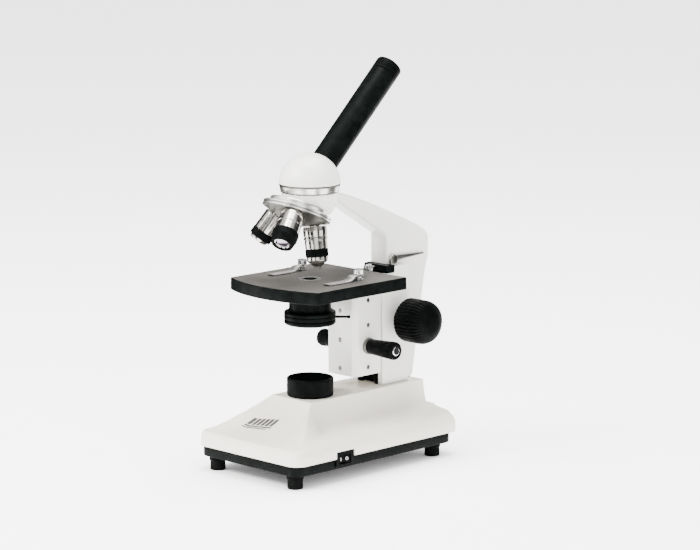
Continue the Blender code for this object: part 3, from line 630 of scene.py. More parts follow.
def feet():
    for node in ("foot_front_left", "foot_front_right", "foot_back_left", "foot_back_right"):
        low, high = design_box(node)
        centre = Vector(((low.x + high.x) / 2, (low.y + high.y) / 2, 0))
        profile = [(0, 0.7), (4.2, 0.7), (4.6, 0), (6.9, 0), (7.2, 1), (7, 8.4), (7.8, 8.9), (7.8, high.z),
                   (0, high.z)]
        finish_piece(fine(node, turned(rounded(profile, 0.5), 64), Matrix.Translation(centre)), RUBBER)


def lamp():
    """The black collar with its rounded rim, and the collector lens inside it; the bulb and socket stay
    from the frame.
    """
    outer = COLLAR_HIGH.x
    inner = outer - 1.8
    low, top = COLLAR_LOW.z, COLLAR_HIGH.z
    profile = [(inner, low), (outer - 0.4, low), (outer, low + 0.8), (outer, top - 0.9),
               (outer - 0.5, top - 0.2), (outer - 0.9, top), (inner + 0.2, top), (inner, top - 0.5)]
    finish_piece(fine("lamp_collar", turned(rounded(profile, 0.3), 128)), PLASTIC)
    low, top = design_box("collector_lens")
    dome = [(0, low.z), (top.x, low.z)] + crown(top.x, low.z + 1.3, top.z - low.z - 1.3, 12)
    finish_piece(fine("collector_lens", turned(dome, 96)), GLASS)


def switch():
    """The rocker switch: framed bezel, and a rocker with a bar and a ring marked on it."""
    bezel = fine("switch_bezel", box(*zip(BEZEL_LOW, BEZEL_HIGH)))
    bevel(bezel, 0.7)
    window = box((ROCKER.x - 5.5, 75), (ROCKER.y - 7.4, ROCKER.y + 7.4), (ROCKER.z - 4.4, ROCKER.z + 4.4))
    combine(bezel, window)
    finish_piece(bezel, PLASTIC)
    outline = rounded([(1, 0), (2.4, 6.5), (-0.8, 6.5), (-3, 3), (-3, -3), (-0.8, -6.5), (2.4, -6.5)], 0.6)
    tilt = Matrix.Translation(ROCKER) @ Matrix.Rotation(radians(-8), 4, "Z")
    rocker = fine("switch_rocker", extruded(outline, -4, 4), tilt)
    bevel(rocker, 0.25, 2)
    finish_piece(rocker, PLASTIC)
    slope = atan2(1.4, 6.5)
    for side in (-1, 1):
        face = Matrix.Translation((1.75, 3.4 * side, 0)) @ Matrix.Rotation(-slope * side, 4, "Z")
        place = tilt @ face @ AXIS_TURN["X"]
        if side < 0:
            mark = box((-0.35, 0.35), (-1.5, 1.5), (0, 0.12))
        else:
            mark = turned([(1, 0), (1.45, 0), (1.45, 0.12), (1, 0.12)], 32)
        item = make_object("switch_mark_" + ("on" if side < 0 else "off"), mark, place)
        finish_piece(item, MARK_WHITE, body="switch")


def draped(u_range, v_range, steps=6, lift=0.16):
    """A thin patch laid on the shell: part of the badge's parallelogram, in shares of its two sides."""
    mesh = bmesh.new()
    skins = []
    for rise in (lift, -lift):
        rows = []
        for i in range(steps + 1):
            u = u_range[0] + (u_range[1] - u_range[0]) * i / steps
            row = []
            for j in range(steps + 1):
                v = v_range[0] + (v_range[1] - v_range[0]) * j / steps
                x, y = BADGE_CORNER + BADGE_ACROSS * u + BADGE_DOWN * v
                row.append(mesh.verts.new((x, y, shell_height(x, y) + rise)))
            rows.append(row)
        skins.append(rows)
    for rows in skins:
        quads(mesh, rows)
    top, bottom = skins
    for end in (0, -1):
        for j in range(steps):
            mesh.faces.new((top[end][j], top[end][j + 1], bottom[end][j + 1], bottom[end][j]))
            mesh.faces.new((top[j][end], top[j + 1][end], bottom[j + 1][end], bottom[j][end]))
    return face_outwards(mesh)


def badge():
    """A plain patch of slanted hatching over two thin lines, in place of the printed mark."""
    patches = [((step / BADGE_BARS, (step + 0.72) / BADGE_BARS), (0, 0.6)) for step in range(BADGE_BARS)]
    patches += [((0, 1), (0.68, 0.8)), ((0, 0.9), (0.88, 0.97))]
    for index, (u_range, v_range) in enumerate(patches):
        bar = make_object("badge_bar_%d" % (index + 1), draped(u_range, v_range))
        finish_piece(bar, MARK_GREY, body="stand")


# ---- arm and slide

HOUSING_HALF_WIDTH = 19.5
HOUSING_FRONT = 76.0
HOUSING_BACK = 112.0
HOUSING_TOP = 178.8
ARM_HALF_WIDTH = 11.0
BOWL_RADIUS = 26.0
BOWL_TOP = 258.0


def nose_place():
    """The nosepiece's own frame: origin in the middle of the disc, Z up the tilted axis."""
    return Matrix.Translation(NOSE) @ Matrix.Rotation(-NOSE_TILT, 4, "X")


def arm_outline():
    """Side view of the arm as (y, z), with its bends rounded."""
    foot = ARM_LOW.z
    corners = [(8, 256.5), (29.7, 255.6), (56, 246.4), (79, 237.7), (109.9, 224.3), (134, 213.6),
               (149.2, 204), (148.6, 183), (144.4, 168.7), (140, 146.1), (131.8, 97.4), (127, foot),
               (100, foot), (100, HOUSING_TOP), (90, HOUSING_TOP), (90, 208.2), (26, 248), (8, 250)]
    soft = rounded(corners[:8], 13, 8, closed=False)
    limit = ARM_HIGH.y
    soft = [(min(y, limit), z) for y, z in soft]
    return soft + corners[8:]


def arm():
    web = fine("arm", extruded(arm_outline(), -ARM_HALF_WIDTH, ARM_HALF_WIDTH, "X"))
    bevel(web, 2.6, 5, 35)
    bowl = [(0, 229)]
    for step in range(25):
        angle = radians(72 - 3 * step)
        bowl.append((BOWL_RADIUS * cos(angle), BOWL_TOP - 30 * sin(angle)))
    bowl += [(BOWL_RADIUS, BOWL_TOP + 3), (0, BOWL_TOP + 3)]
    combine(web, turned(bowl, 128), "UNION")
    remesh = web.modifiers.new("remesh", "REMESH")
    remesh.mode = "VOXEL"
    remesh.voxel_size = 0.9 * MM
    smooth = web.modifiers.new("smooth", "SMOOTH")
    smooth.factor = 0.5
    smooth.iterations = 8
    settle(web)
    cap_step = RAIL_HIGH.z + GAP
    side = [(HOUSING_FRONT, ARM_LOW.z), (HOUSING_BACK, ARM_LOW.z), (HOUSING_BACK, HOUSING_TOP),
            (92.3, HOUSING_TOP), (92.3, cap_step), (HOUSING_FRONT, cap_step)]
    housing = extruded(side, -HOUSING_HALF_WIDTH, HOUSING_HALF_WIDTH, "X")
    combine(web, housing, "UNION", edge=0.9)
    combine(web, box((-40, 40), (-60, 60), (-60, 7.5)), place=nose_place())
    combine(web, box((-60, 60), (-60, 60), (BOWL_TOP, BOWL_TOP + 20)))
    combine(web, box((-60, 60), (40, 200), (40, ARM_LOW.z)))
    combine(web, pin(9, 215, 275, 48))
    channel = RAIL_HIGH.x + GAP
    combine(web, box((-channel, channel), (70, RAIL_HIGH.y + GAP), (60, 176)))
    combine(web, box((-9, 9), (80, 107), (76, 170)))
    combine(web, pin(6, -30, 30, 48), place=axis_place(COARSE, "X"))
    finish_piece(web, ENAMEL, 38)


def guide():
    low, high = RAIL_LOW, RAIL_HIGH
    outline = [(low.x, low.y), (-8, low.y), (-10, 82), (10, 82), (8, low.y), (high.x, low.y),
               (high.x, high.y), (low.x, high.y)]
    rail = fine("guide_rail", extruded(outline, low.z, high.z))
    bevel(rail, 0.35, 2)
    combine(rail, box((-4.6, 4.6), (80, 95), (80, 169)))
    finish_piece(rail, BLACK)
    low, high = design_box("guide_cap")
    cap = fine("guide_cap", box(*zip(low, high)))
    combine(cap, box((-12, ARM_HALF_WIDTH + GAP), (89.7, 95), (HOUSING_TOP - GAP, 190)), edge=0.6)
    combine(cap, pin(2, 70, 86.4), place=axis_place((SCREW.x, 0, SCREW.z), "Y"))
    finish_piece(cap, BLACK)


def block_outline():
    half, narrow = BLOCK_HIGH.x, BLOCK_HIGH.x - 4.4
    front, back = BLOCK_LOW.y, 73.8
    right = [(narrow, front), (half, front + 4.4), (half, back), (7.6, back), (7.6, 76.6),
             (9.5, BLOCK_HIGH.y)]
    return right + [(-x, y) for x, y in right[::-1]]


def carriage():
    block = fine("carriage_block", extruded(block_outline(), BLOCK_LOW.z, BLOCK_HIGH.z))
    bevel(block, 0.7, 3, 30)
    combine(block, box((-8, 8), (47, 66), (98, 175)))
    combine(block, pin(2.7, -30, 30), place=axis_place(FINE, "X"))
    screws = [(Vector((0, BLOCK_LOW.y, z)), Matrix.Rotation(pi / 2, 4, "X")) for z in (87, 114, 142)]
    for side in (-1, 1):
        turn = Matrix.Rotation(side * pi / 2, 4, "Y")
        screws += [(Vector((side * BLOCK_HIGH.x, 57, z)), turn) for z in (88.2, 128.3, 152)]
    for centre, turn in screws:
        combine(block, pin(2.4, -1.6, 1), place=Matrix.Translation(centre) @ turn)
    finish_piece(block, ENAMEL)
    rng = random.Random(4)
    for index, (centre, turn) in enumerate(screws):
        head = turned(rounded([(0, -1.5), (2.1, -1.5), (2.1, -0.9), (1.5, -0.5), (0, -0.4)], 0.2), 40)
        place = Matrix.Translation(centre) @ turn @ Matrix.Rotation(rng.uniform(0, pi), 4, "Z")
        screw = make_object("block_screw_%d" % (index + 1), head, place)
        combine(screw, box((-3, 3), (-0.25, 0.25), (-0.8, 1)), place=place)
        finish_piece(screw, DARK_STEEL, body="carriage")


# ---- focus knobs

def coarse_knobs():
    """Large knobs with rounded ribs round the rim and a stepped, domed face."""
    radius = 20.75
    body = [(0, 40.3), (3.3, 40.3), (3.3, 21), (8.5, 21), (8.5, 31.5), (18.6, 31.5)]
    rim = [(20.2, 32.1), (radius, 33.4)]
    rim += [(radius, 33.4 + (50.0 - 33.4) * step / 8) for step in range(1, 9)]
    face = [(20.65, 51.8), (20.35, 53.7), (19.8, 55.6), (19, 57.4), (17.9, 59), (16.4, 60.3), (14.2, 61.4),
            (11.2, 62.4), (7.5, 63.1), (3.8, 63.4), (0, 63.5)]

    def ribs(angle, reach, height):
        if height < 31.6 or reach < 12:
            return reach
        fade = min(1, (reach - 12) / 6)
        groove = max(0, cos(36 * angle)) ** 3
        return reach - 1.1 * groove * fade

    for side, word in ((-1, "left"), (1, "right")):
        place = axis_place((0, COARSE.y, COARSE.z), "X")
        if side < 0:
            place = place @ Matrix.Rotation(pi, 4, "Y")
        finish_piece(fine("coarse_knob_" + word, turned(body + rim + face, 432, ribs), place), PLASTIC, 50)


def fine_knobs():
    """Slim tapered knobs, fluted at the outer end."""
    right = [(0, 46.3), (2.6, 46.3), (2.6, 23.4), (6.6, 23.4), (7.2, 24), (7.2, 29), (7.5, 33)]
    right += [(7.6 + 0.9 * step / 8, 35 + 18 * step / 8) for step in range(9)]
    right += [(8.4, 54.6), (7.9, 55.6), (7, 56), (4.9, 56), (4.6, 55.7), (4.6, 54.6), (0, 54.6)]
    place = axis_place((0, FINE.y, FINE.z), "X")
    knob = turned(right, 240, flutes(30, 0.45, 45, 54.8, 2))
    finish_piece(fine("fine_knob_right", knob, place), PLASTIC, 50)
    cap = turned(rounded([(0, 54.9), (4.2, 54.9), (4.2, 56.2), (3.6, 56.45), (0, 56.5)], 0.2), 64)
    finish_piece(fine("fine_knob_cap", cap, place), CHROME)
    left = [(0, 34.3), (2.6, 34.3), (2.6, 23.4), (6.6, 23.4), (7.2, 24), (7.4, 27)]
    left += [(7.5 + 0.9 * step / 6, 28 + 10 * step / 6) for step in range(7)]
    left += [(8.2, 40), (7.6, 41.3), (6.2, 42.2), (3.5, 42.8), (0, 43)]
    turn = place @ Matrix.Rotation(pi, 4, "Y")
    knob = turned(left, 240, flutes(30, 0.45, 31, 40.5, 2))
    finish_piece(fine("fine_knob_left", knob, turn), PLASTIC, 50)
    wall = BLOCK_HIGH.x + GAP
    collar = [(2.7, wall), (7.5, wall)] + filled_band(7.7, wall + 0.3, 22.4, 0.3) + [(6.9, 23), (2.7, 23)]
    knurl = flutes(40, 0.35, wall + 0.2, 22.5)
    for word, move in (("right", place), ("left", turn)):
        ring = fine("fine_collar_" + word, turned(collar, 160, knurl), move)
        finish_piece(ring, DARK_METAL_AND_SHADE)


# ---- stage

def stage():
    chord = STAGE_HIGH.x
    side_front, front, back = -46, STAGE_LOW.y, STAGE_HIGH.y
    rise = side_front - front
    radius = (chord ** 2 + rise ** 2) / (2 * rise)
    sweep = asin(chord / radius)
    outline = [(chord, back), (-chord, back)]
    for step in range(49):
        angle = -sweep + 2 * sweep * step / 48
        outline.append((radius * sin(angle), front + radius * (1 - cos(angle))))
    plate = fine("stage_plate", extruded(outline, STAGE_LOW.z, STAGE_HIGH.z))
    bevel(plate, 0.9, 4, 20)
    combine(plate, pin(11.3, 150, 190, 96))
    finish_piece(plate, STAGE_TOP)
    darken(plate, lambda face: face.normal.z < 0.9, STAGE_EDGE)
    ring_top = design_box("stage_ring")[1]
    profile = [(4.8, 174), (ring_top.x, 174), (ring_top.x, ring_top.z), (8.4, ring_top.z),
               (8.2, ring_top.z - 0.25), (7.9, ring_top.z - 0.25), (7.7, ring_top.z), (6.4, ring_top.z),
               (4.8, 176.2)]
    ring = fine("stage_ring", turned(rounded(profile, 0.12), 96))
    finish_piece(ring, RING_METAL)
    darken(ring, lambda face: face.center.xy.length / MM < 6.6, BLACK)


def clips():
    """Bent spring strips with turned-up round tips, and knurled posts."""
    for word in ("left", "right"):
        low, high = design_box("clip_" + word)
        x = (low.x + high.x) / 2
        rest = STAGE_HIGH.z + 0.4
        tip, end, half_width = -17.5, 31, 4.5
        bends = [(tip, rest + 1.6), (-14.2, rest), (12, rest), (17.5, rest + 3.9), (end, rest + 3.9)]
        line = rounded(bends, 2.5, 6, closed=False)
        mesh = bmesh.new()
        loops = []
        for (y0, z0), (y1, z1) in zip(line, line[1:]):
            count = max(1, int((y1 - y0) / 0.6))
            for step in range(count):
                t = step / count
                y, z = y0 + (y1 - y0) * t, z0 + (z1 - z0) * t
                from_round = max(0, half_width - min(y - tip, end - y))
                half = sqrt(max(0.05, half_width ** 2 - from_round ** 2))
                section = ((-half, 0), (half, 0), (half, 0.9), (-half, 0.9))
                loops.append([mesh.verts.new((a, y, z + b)) for a, b in section])
        close_loops(mesh, loops)
        mesh.transform(Matrix.Translation((x, 0, 0)))
        strip = fine("clip_" + word, mesh)
        bevel(strip, 0.22, 2, 60)
        centre = design_point(word + "_clip_swing")
        place = Matrix.Translation((centre.x, centre.y, 0))
        combine(strip, pin(2.1, 170, 190), place=place)
        finish_piece(strip, SATIN_CHROME, 40)
        base = STAGE_HIGH.z + GAP
        top = design_box("clip_post_" + word)[1].z
        profile = [(0, base), (4.2, base), (4.2, 178.2), (3.4, 178.6), (3.4, 179.4), (4.2, 179.8),
                   (4.2, 180.5), (1.7, 180.8), (1.7, 182.6), (3.9, 182.6)]
        profile += filled_band(4.4, 183, top - 0.9, 0.25) + [(4, top - 0.3), (2.6, top), (0, top - 0.3)]
        post = fine("clip_post_" + word, turned(profile, 144, flutes(36, 0.3, 182.9, top - 0.8)), place)
        finish_piece(post, CHROME, 50)


def condenser():
    top = STAGE_LOW.z - GAP
    body = [(12.3, 137), (15, 137), (15, 143.6), (23.4, 143.6), (24, 144.1), (24, 146.3), (23.4, 147),
            (20.6, 147.5), (19.8, 148.4), (19.5, 150), (19.5, 158), (19.2, 158.3), (19.2, 158.9),
            (19.5, 159.2), (19.5, top), (12.3, top)]
    finish_piece(fine("condenser_body", turned(rounded(body, 0.25), 128)), BLACK)
    ring = [(11, 134.9), (22, 134.9), (23.2, 135.5), (24, 136.6), (24, 138.7), (22.9, 139.2), (22.9, 139.9),
            (24, 140.4), (24, 143.2), (23.6, 143.4), (15.3, 143.4), (15.3, 136.7), (11, 136.7)]
    iris = fine("iris_ring", turned(rounded(ring, 0.3), 128))
    azimuth = radians(42)
    handle = turned(rounded([(0, 20), (1.3, 20), (1.1, 34), (1.5, 35), (1.5, 37), (0, 37.5)], 0.4), 24)
    place = Matrix.Rotation(azimuth, 4, "Z") @ Matrix.Translation((0, 0, 141.6)) @ AXIS_TURN["X"]
    combine(iris, handle, "UNION", place)
    finish_piece(iris, BLACK)


# ---- head

def tube_place():
    return Matrix.Translation(HEAD_CENTRE) @ Matrix.Rotation(-TUBE_TILT, 4, "X")


def head():
    radius = DOME_HIGH.x
    low, top = BAND_LOW.z, BAND_HIGH.z
    flare = (radius - 27.25) / (top - low - 1.3)
    profile = [(23, low), (26.5, low)]
    profile += [(26.9 + flare * (z - low - 0.4), z) for z in (low + 0.4, low + 1.1, top - 1.4, top - 0.9)]
    profile += [(radius, top - 0.5), (radius - 0.2, top), (23, top)]
    band = fine("head_band", turned(profile, 160))
    finish_piece(band, BAND_METAL)
    # Painted shade: the band's top and bottom edges take the dark metal in place of the shade in the
    # grooves above and below the band.
    darken(band, lambda face: not low + 1.0 < face.center.z / MM < top - 1.3)
    low = DOME_LOW.z
    rise = DOME_HIGH.z - low
    outer = [(radius - 0.5, low), (radius, low + 0.5)] + crown(radius, low, rise, 30)[1:]
    inner = crown(25.3, low, rise - 3, 29)[::-1]
    dome = fine("head_dome", turned(outer + inner, 160))
    combine(dome, pin(13, 12, 60, 96), place=tube_place())
    finish_piece(dome, ENAMEL, 40)
    tube = [(11.75, 21), (12.75, 21), (12.75, 133.1), (12.35, 133.5), (11.75, 133.5)]
    finish_piece(fine("eyepiece_tube", turned(rounded(tube, 0.25), 128), tube_place()), BLACK)
    barrel = [(10.2, 90), (11.3, 90), (11.5, 90.4), (11.5, 133.8), (12.3, 133.8), (12.75, 134.2),
              (12.75, 135.9), (12.45, 136.2), (12.45, 136.6), (12.75, 136.9), (12.75, 144.1), (12.4, 145),
              (11.6, 145.5), (9.9, 145.4), (9, 144.5), (8.5, 143.3), (8.5, 137), (10.2, 136.5)]
    finish_piece(fine("eyepiece", turned(rounded(barrel, 0.25), 128), tube_place()), PLASTIC)
    lens = [(0, 138.1), (4, 138.3), (8.1, 139.1), (8.1, 141.8), (7.4, 142.2), (5.6, 142.7), (3.2, 143),
            (0, 143.1)]
    finish_piece(fine("eye_lens", turned(lens, 64), tube_place()), GLASS)


# ---- nosepiece

APEX = 40.57
SEAT = 52.4
CONE_RADIUS = 30.0
KNURL_PITCH = 0.45
TURRET_REST = -21.0
DARK_TIP = 86.3
# Each objective has its barrel, its grip ring, and the radius and height of its front lens.
OBJECTIVES = {
    "objective_40x": (
        [(10.4, SEAT), (11.2, 55.2), (10.9, 55.5), (10.9, 55.8), (11.2, 56.1), (10.8, 61.4), (10.2, 61.8),
         (10.2, 62.1), (11, 62.5), (11, 64.2), (10.1, 64.6), (10.1, 65.2), (10.4, 65.6), (10.2, 72.6),
         (8.9, 72.8), (8.9, 80.5), (9.8, 80.7), (9.7, 83.4), (8.7, 85), (7.4, 86.1), (6.8, 86.2),
         (5.8, 86.9), (5, 88.2), (4.3, 88.7), (3.6, 88.9), (3.4, 89.3), (3.4, 91.1), (3.1, 91.4), (2, 91.4),
         (1.8, 91), (0, 91)],
        [(9.2, 73.1), (10.6, 73.1), (10.6, 80.3), (9.2, 80.3)],
        (1.7, 90.95),
    ),
    "objective_10x": (
        [(10.4, SEAT), (10.8, 55.4), (10.5, 55.7), (10.5, 56.1), (10.85, 56.4), (11.2, 63.6), (10.7, 63.9),
         (10.7, 64.5), (11.25, 64.8), (11.6, 72.4), (8.9, 72.6), (8.9, 80.3), (7.6, 80.5), (7.6, 84.4),
         (7.3, 84.8), (6.4, 84.9), (6, 84.5), (5.8, 83.6), (0, 83.6)],
        [(9.2, 72.9), (12, 72.9), (12, 79), (10, 85.6), (7.9, 85.6), (7.9, 80.7), (9.2, 80.7)],
        (5.6, 83.65),
    ),
    "objective_4x": (
        [(10.4, SEAT), (10.6, 55.4), (10.3, 55.7), (10.3, 56.1), (10.6, 56.4), (10.6, 61.8), (10.1, 62.1),
         (10.1, 62.6), (10.6, 62.9), (10.6, 70.2), (8.9, 70.4), (8.9, 78.1), (9.3, 78.3), (9, 79.4),
         (8.7, 80), (8.1, 80.8), (7.4, 81.1), (5.6, 81.1), (5.4, 80.8), (5.2, 79.8), (0, 79.8)],
        [(9.2, 70.7), (10.9, 70.7), (10.9, 77.9), (9.2, 77.9)],
        (5, 79.85),
    ),
}


def objective_place(name):
    azimuth = TURRET_REST - 120 * list(OBJECTIVES).index(name)
    apex = Matrix.Translation((0, 0, APEX)) @ Matrix.Rotation(radians(azimuth), 4, "Z")
    return nose_place() @ apex @ Matrix.Rotation(pi + NOSE_TILT, 4, "X")


def nosepiece():
    plate = [(0, 3.05), (26.4, 3.05), (27, 3.5), (27, 6.4), (26.4, 7.1), (25.2, 7.2), (0, 7.2)]
    mount = fine("nosepiece_mount", turned(rounded(plate, 0.3), 128), nose_place())
    combine(mount, pin(7, 215, 275, 48))
    finish_piece(mount, SATIN_CHROME)
    slope = tan(NOSE_TILT)
    tip = 2.75 + (CONE_RADIUS - 6) * slope
    outer = 32.2
    disc = [(3.2, -tip), (6, -tip), (28.6, -2.75 - 1.4 * slope), (29.8, -3), (30.3, -2.75), (31, -2.75)]
    disc += [(31.5, -2.5), (outer, -2), (outer, -0.4), (31.4, -0.2), (31.4, 0.3), (outer, 0.5), (outer, 2),
             (31.5, 2.5), (31, 2.75), (3.2, 2.75)]
    turret = fine("nosepiece_disc", turned(disc, 192), nose_place())
    for name in OBJECTIVES:
        combine(turret, pin(5, 30, 54), place=objective_place(name))
    finish_piece(turret, SATIN_CHROME)
    # Painted shade and painted reflection: faces turned downwards take the dark metal for the shade and
    # dark reflections under the disc, and the middle groove takes it for the shade in the groove.
    darken(turret, lambda face: face.normal.z < -0.3)
    darken(turret, lambda face: abs(face.center.z / MM) < 0.4)
    screw = [(0, -tip - 3.2), (3.6, -tip - 3.1), (5.2, -tip - 2.4), (5.2, -tip - 0.3), (2.8, -tip - 0.3),
             (2.8, 2.75), (0, 2.75)]
    pivot = fine("nosepiece_pivot", turned(rounded(screw, 0.2), 64), nose_place())
    combine(pivot, box((-6, 6), (-0.5, 0.5), (-tip - 5, -tip - 2.2)), place=nose_place())
    finish_piece(pivot, STEEL)
    for name, (sleeve, grip, (glass_radius, glass_height)) in OBJECTIVES.items():
        place = objective_place(name)
        neck = [(0, 44.5), (4.7, 44.5), (4.7, SEAT)]
        barrel = fine(name, turned(neck + sleeve, 128), place)
        finish_piece(barrel, OBJECTIVE_CHROME, 25)
        darken(barrel, lambda face: face.center.z / MM > DARK_TIP)
        (bore, low), (radius, _), (_, high), *front = grip
        ring = [(bore, low), (radius - 0.4, low), (radius, low + 0.4)]
        ring += filled_band(radius, low + 0.6, high - 0.6, KNURL_PITCH)
        ring += [(radius, high - 0.4), (radius - 0.4, high)] + front
        knurl = diamonds(48, 0.35, low + 0.5, high - 0.5, 0.12)
        finish_piece(fine(name + "_grip", turned(ring, 288, knurl), place), PLASTIC, 60)
        bulge = crown(glass_radius, glass_height, 0.22 * glass_radius, 8)
        lens = make_object(name + "_lens", turned([(0, glass_height)] + bulge, 48), place)
        finish_piece(lens, COATED, body="nosepiece")


# ---- lever and stop screw

LEVER_LENGTH = 41.6


def clamp_lever():
    """A round hub with a slotted screw, and a lever that tapers to a point."""
    hub = turned(rounded([(0, 0), (5.2, 0), (5.2, 2.6), (4.5, 3.2), (0, 3.2)], 0.4), 64)
    lever = fine("clamp_lever", hub, axis_place(LEVER, "X"))
    mesh = bmesh.new()
    rows = []
    for step in range(25):
        t = step / 24
        along = 2.5 + (LEVER_LENGTH - 2.5) * t
        wide = 3.1 * (1 - t) + 0.8 * t
        deep = 1.25 * (1 - t) + 0.7 * t
        if step == 24:
            wide, deep = 0.3, 0.25
        ring = []
        for side in range(24):
            angle = 2 * pi * side / 24
            ring.append(mesh.verts.new((1.6 + deep * cos(angle), along, wide * sin(angle) + 1 + 0.7 * t)))
        rows.append(ring)
    combine(lever, close_loops(mesh, rows), "UNION", Matrix.Translation(LEVER))
    finish_piece(lever, RING_METAL, 40)
    head = turned(rounded([(0, 3.3), (3.9, 3.3), (3.9, 3.9), (3, 4.2), (0, 4.2)], 0.3), 48)
    place = axis_place(LEVER, "X") @ Matrix.Rotation(radians(25), 4, "Z")
    screw = make_object("clamp_screw", head, place)
    combine(screw, box((-5, 5), (-0.45, 0.45), (3.7, 6)), place=place)
    finish_piece(screw, DARK_METAL_AND_SHADE, body="lever")


def stop_screw():
    low = design_box("stop_screw")[0].y
    profile = [(0, low), (2.9, low), (3.7, low + 0.4)]
    profile += filled_band(4.2, low + 0.8, low + 5.4, 0.25) + [(3.7, low + 5.8), (1.7, low + 6.1),
                                                               (1.7, 86), (0, 86)]
    mesh = turned(profile, 120, diamonds(24, 0.35, low + 0.7, low + 5.5, 0.25))
    finish_piece(fine("stop_screw", mesh, axis_place((SCREW.x, 0, SCREW.z), "Y")), CHROME, 50)


# ---- pieces kept from the frame

KEPT = {
    PLASTIC: ("lamp_socket", "power_inlet"),
    GLASS: ("lamp_bulb", "prism"),
    STEEL: ("rack", "coarse_shaft", "fine_shaft", "stage_bracket"),
    BRASS: ("coarse_pinion", "coarse_bush_left", "coarse_bush_right", "fine_cam"),
    CONDENSER_GLASS: ("condenser_lens",),
    BLACK: ("iris_blades",),
}


def dress_kept_nodes():
    for material, nodes in KEPT.items():
        for node in nodes:
            paint(frame["nodes"][node], material)


# ---- floor, light and camera

VIEW_AZIMUTH = radians(44.89)
VIEW_ELEVATION = radians(10.15)
VIEW_DISTANCE = 2717.28
FOCAL_LENGTH = 151.68
AIM_HEIGHT = 180.0
AIM_RIGHT = 36.95
AIM_UP = 0.41
WORLD_LEVEL = 1.3
WORLD_BANDS = ((0, 0.8), (0.12, 0.9), (0.19, 0.05), (0.27, 0.03), (0.32, 1), (0.40, 1.1), (0.46, 0.05),
               (0.54, 0.03), (0.61, 1), (0.8, 1), (0.9, 0.1), (1, 0.8))
FLOOR_GLOW = 2.2
FLOOR_FADE = 60.0
FLAG_RADIUS = 330.0
FLAG_HEIGHT = 1600.0
FLAG_SECTORS = ((-165, -110), (-75, -48), (-26, -12), (22, 42), (75, 120), (150, 172))


def set_camera():
    turn = Matrix.Rotation(VIEW_AZIMUTH, 4, "Z") @ Matrix.Rotation(pi / 2 - VIEW_ELEVATION, 4, "X")
    place = Vector((0, 0, AIM_HEIGHT)) + turn @ Vector((AIM_RIGHT, AIM_UP, VIEW_DISTANCE))
    data = bpy.data.cameras.new("camera")
    data.lens = FOCAL_LENGTH
    data.sensor_width = 36
    data.clip_end = 100
    camera = bpy.data.objects.new("camera", data)
    camera.matrix_world = Matrix.Translation(place * MM + Vector((0, AXIS_Y, 0))) @ turn
    bpy.context.scene.collection.objects.link(camera)
    bpy.context.scene.camera = camera


def area_light(name, size, power, place, aim, colour=(1, 1, 1)):
    data = bpy.data.lights.new(name, "AREA")
    data.shape = "RECTANGLE"
    data.size, data.size_y = size
    data.energy = power
    data.color = colour
    item = bpy.data.objects.new(name, data)
    item.location = place
    direction = Vector(aim) - Vector(place)
    item.rotation_euler = direction.to_track_quat("-Z", "Y").to_euler()
    bpy.context.scene.collection.objects.link(item)


def set_floor():
    """A plain pale floor that glows evenly, except that ambient occlusion cuts the glow close to the object
    and so paints a contact shadow under it.
    """
    mesh = bmesh.new()
    bmesh.ops.create_grid(mesh, x_segments=2, y_segments=2, size=30000)
    floor = make_object("floor", mesh)
    material = Finish("floor_finish", (0.97, 0.97, 0.965), 0.6)
    material.vary_roughness(material.noise(8, 2), 0.55, 0.65)
    material.set(Emission_Color=(1, 1, 1, 1))
    # Painted shadow: ambient occlusion dims the floor's glow near the object.
    fade = add_node(material.tree, "AmbientOcclusion", Distance=FLOOR_FADE * MM)
    fade.samples = 16
    glow = add_node(material.tree, "Math")
    glow.operation = "MULTIPLY"
    glow.inputs[1].default_value = FLOOR_GLOW
    material.link(fade.outputs["AO"], glow.inputs[0])
    material.link(glow.outputs[0], material.shader.inputs["Emission Strength"])
    floor.data.materials.append(material.material)


def set_flags():
    """Dark panels round the set that only reflections see, so that the chrome has something to show."""
    black = Finish("flag_finish", (0.01, 0.01, 0.01), 1)
    black.set(Specular_IOR_Level=0.0)
    for index, (start, stop) in enumerate(FLAG_SECTORS):
        mesh = bmesh.new()
        rows = []
        for step in range(9):
            angle = VIEW_AZIMUTH - pi / 2 + radians(start + (stop - start) * step / 8)
            x, y = FLAG_RADIUS * cos(angle), FLAG_RADIUS * sin(angle)
            rows.append((mesh.verts.new((x, y, 0)), mesh.verts.new((x, y, FLAG_HEIGHT))))
        quads(mesh, rows)
        flag = make_object("flag_%d" % (index + 1), mesh)
        flag.data.materials.append(black.material)
        flag.visible_camera = False
        flag.visible_diffuse = False
        flag.visible_shadow = False
        flag.visible_transmission = False


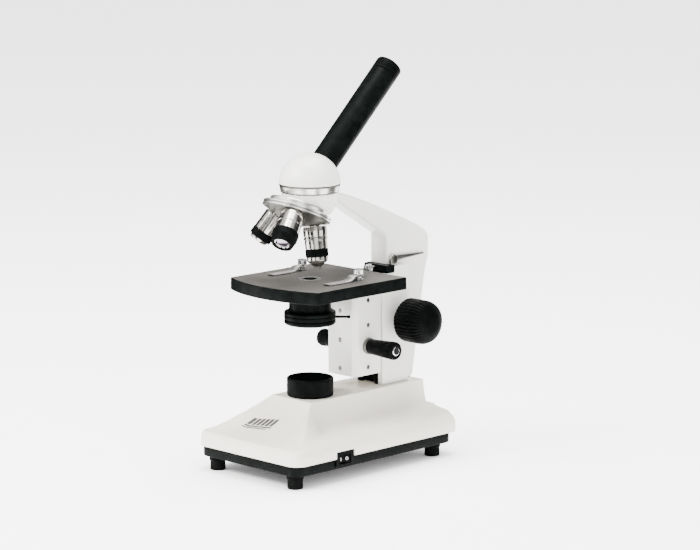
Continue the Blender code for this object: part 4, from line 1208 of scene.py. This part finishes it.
def set_world():
    """Soft surroundings: pale overall, with darker bands that give the chrome something to reflect."""
    world = bpy.data.worlds.new("studio")
    bpy.context.scene.world = world
    world.use_nodes = True
    tree = world.node_tree
    background = tree.nodes["Background"]
    link = tree.links.new
    place = add_node(tree, "TexCoord")
    split = add_node(tree, "SeparateXYZ")
    link(place.outputs["Generated"], split.inputs["Vector"])
    angle = add_node(tree, "Math")
    angle.operation = "ARCTAN2"
    link(split.outputs["Y"], angle.inputs[0])
    link(split.outputs["X"], angle.inputs[1])
    turns = add_node(tree, "MapRange", From_Min=-pi, From_Max=pi)
    link(angle.outputs["Value"], turns.inputs["Value"])
    ramp = add_node(tree, "ValToRGB")
    ramp.color_ramp.interpolation = "EASE"
    stops = ramp.color_ramp.elements
    while len(stops) < len(WORLD_BANDS):
        stops.new(0.5)
    for stop, (position, level) in zip(stops, WORLD_BANDS):
        stop.position = position
        stop.color = (level, level, level, 1)
    link(turns.outputs["Result"], ramp.inputs["Fac"])
    high = add_node(tree, "MapRange", From_Min=0.15, From_Max=0.75)
    link(split.outputs["Z"], high.inputs["Value"])
    dome = add_node(tree, "Mix")
    dome.data_type = "RGBA"
    set_inputs(dome, B=(1, 1, 1, 1))
    link(high.outputs["Result"], dome.inputs["Factor"])
    link(ramp.outputs["Color"], dome.inputs["A"])
    link(dome.outputs["Result"], background.inputs["Color"])
    background.inputs["Strength"].default_value = WORLD_LEVEL


def set_stage():
    set_floor()
    set_flags()
    set_world()
    centre = (0, 0, 0.17)
    area_light("key", (0.8, 0.8), 100, (-0.5, -1.5, 1.5), centre, (1, 0.985, 0.96))
    area_light("fill", (1.2, 1.2), 9, (1.7, -0.6, 0.9), centre)
    area_light("top", (1.4, 1.4), 110, (0.1, 0.2, 2), centre)
    set_camera()


for build in (base_shell, base_plate, feet, lamp, switch, badge, arm, guide, carriage, coarse_knobs,
              fine_knobs, stage, clips, condenser, head, nosepiece, clamp_lever, stop_screw,
              dress_kept_nodes, set_stage):
    build()
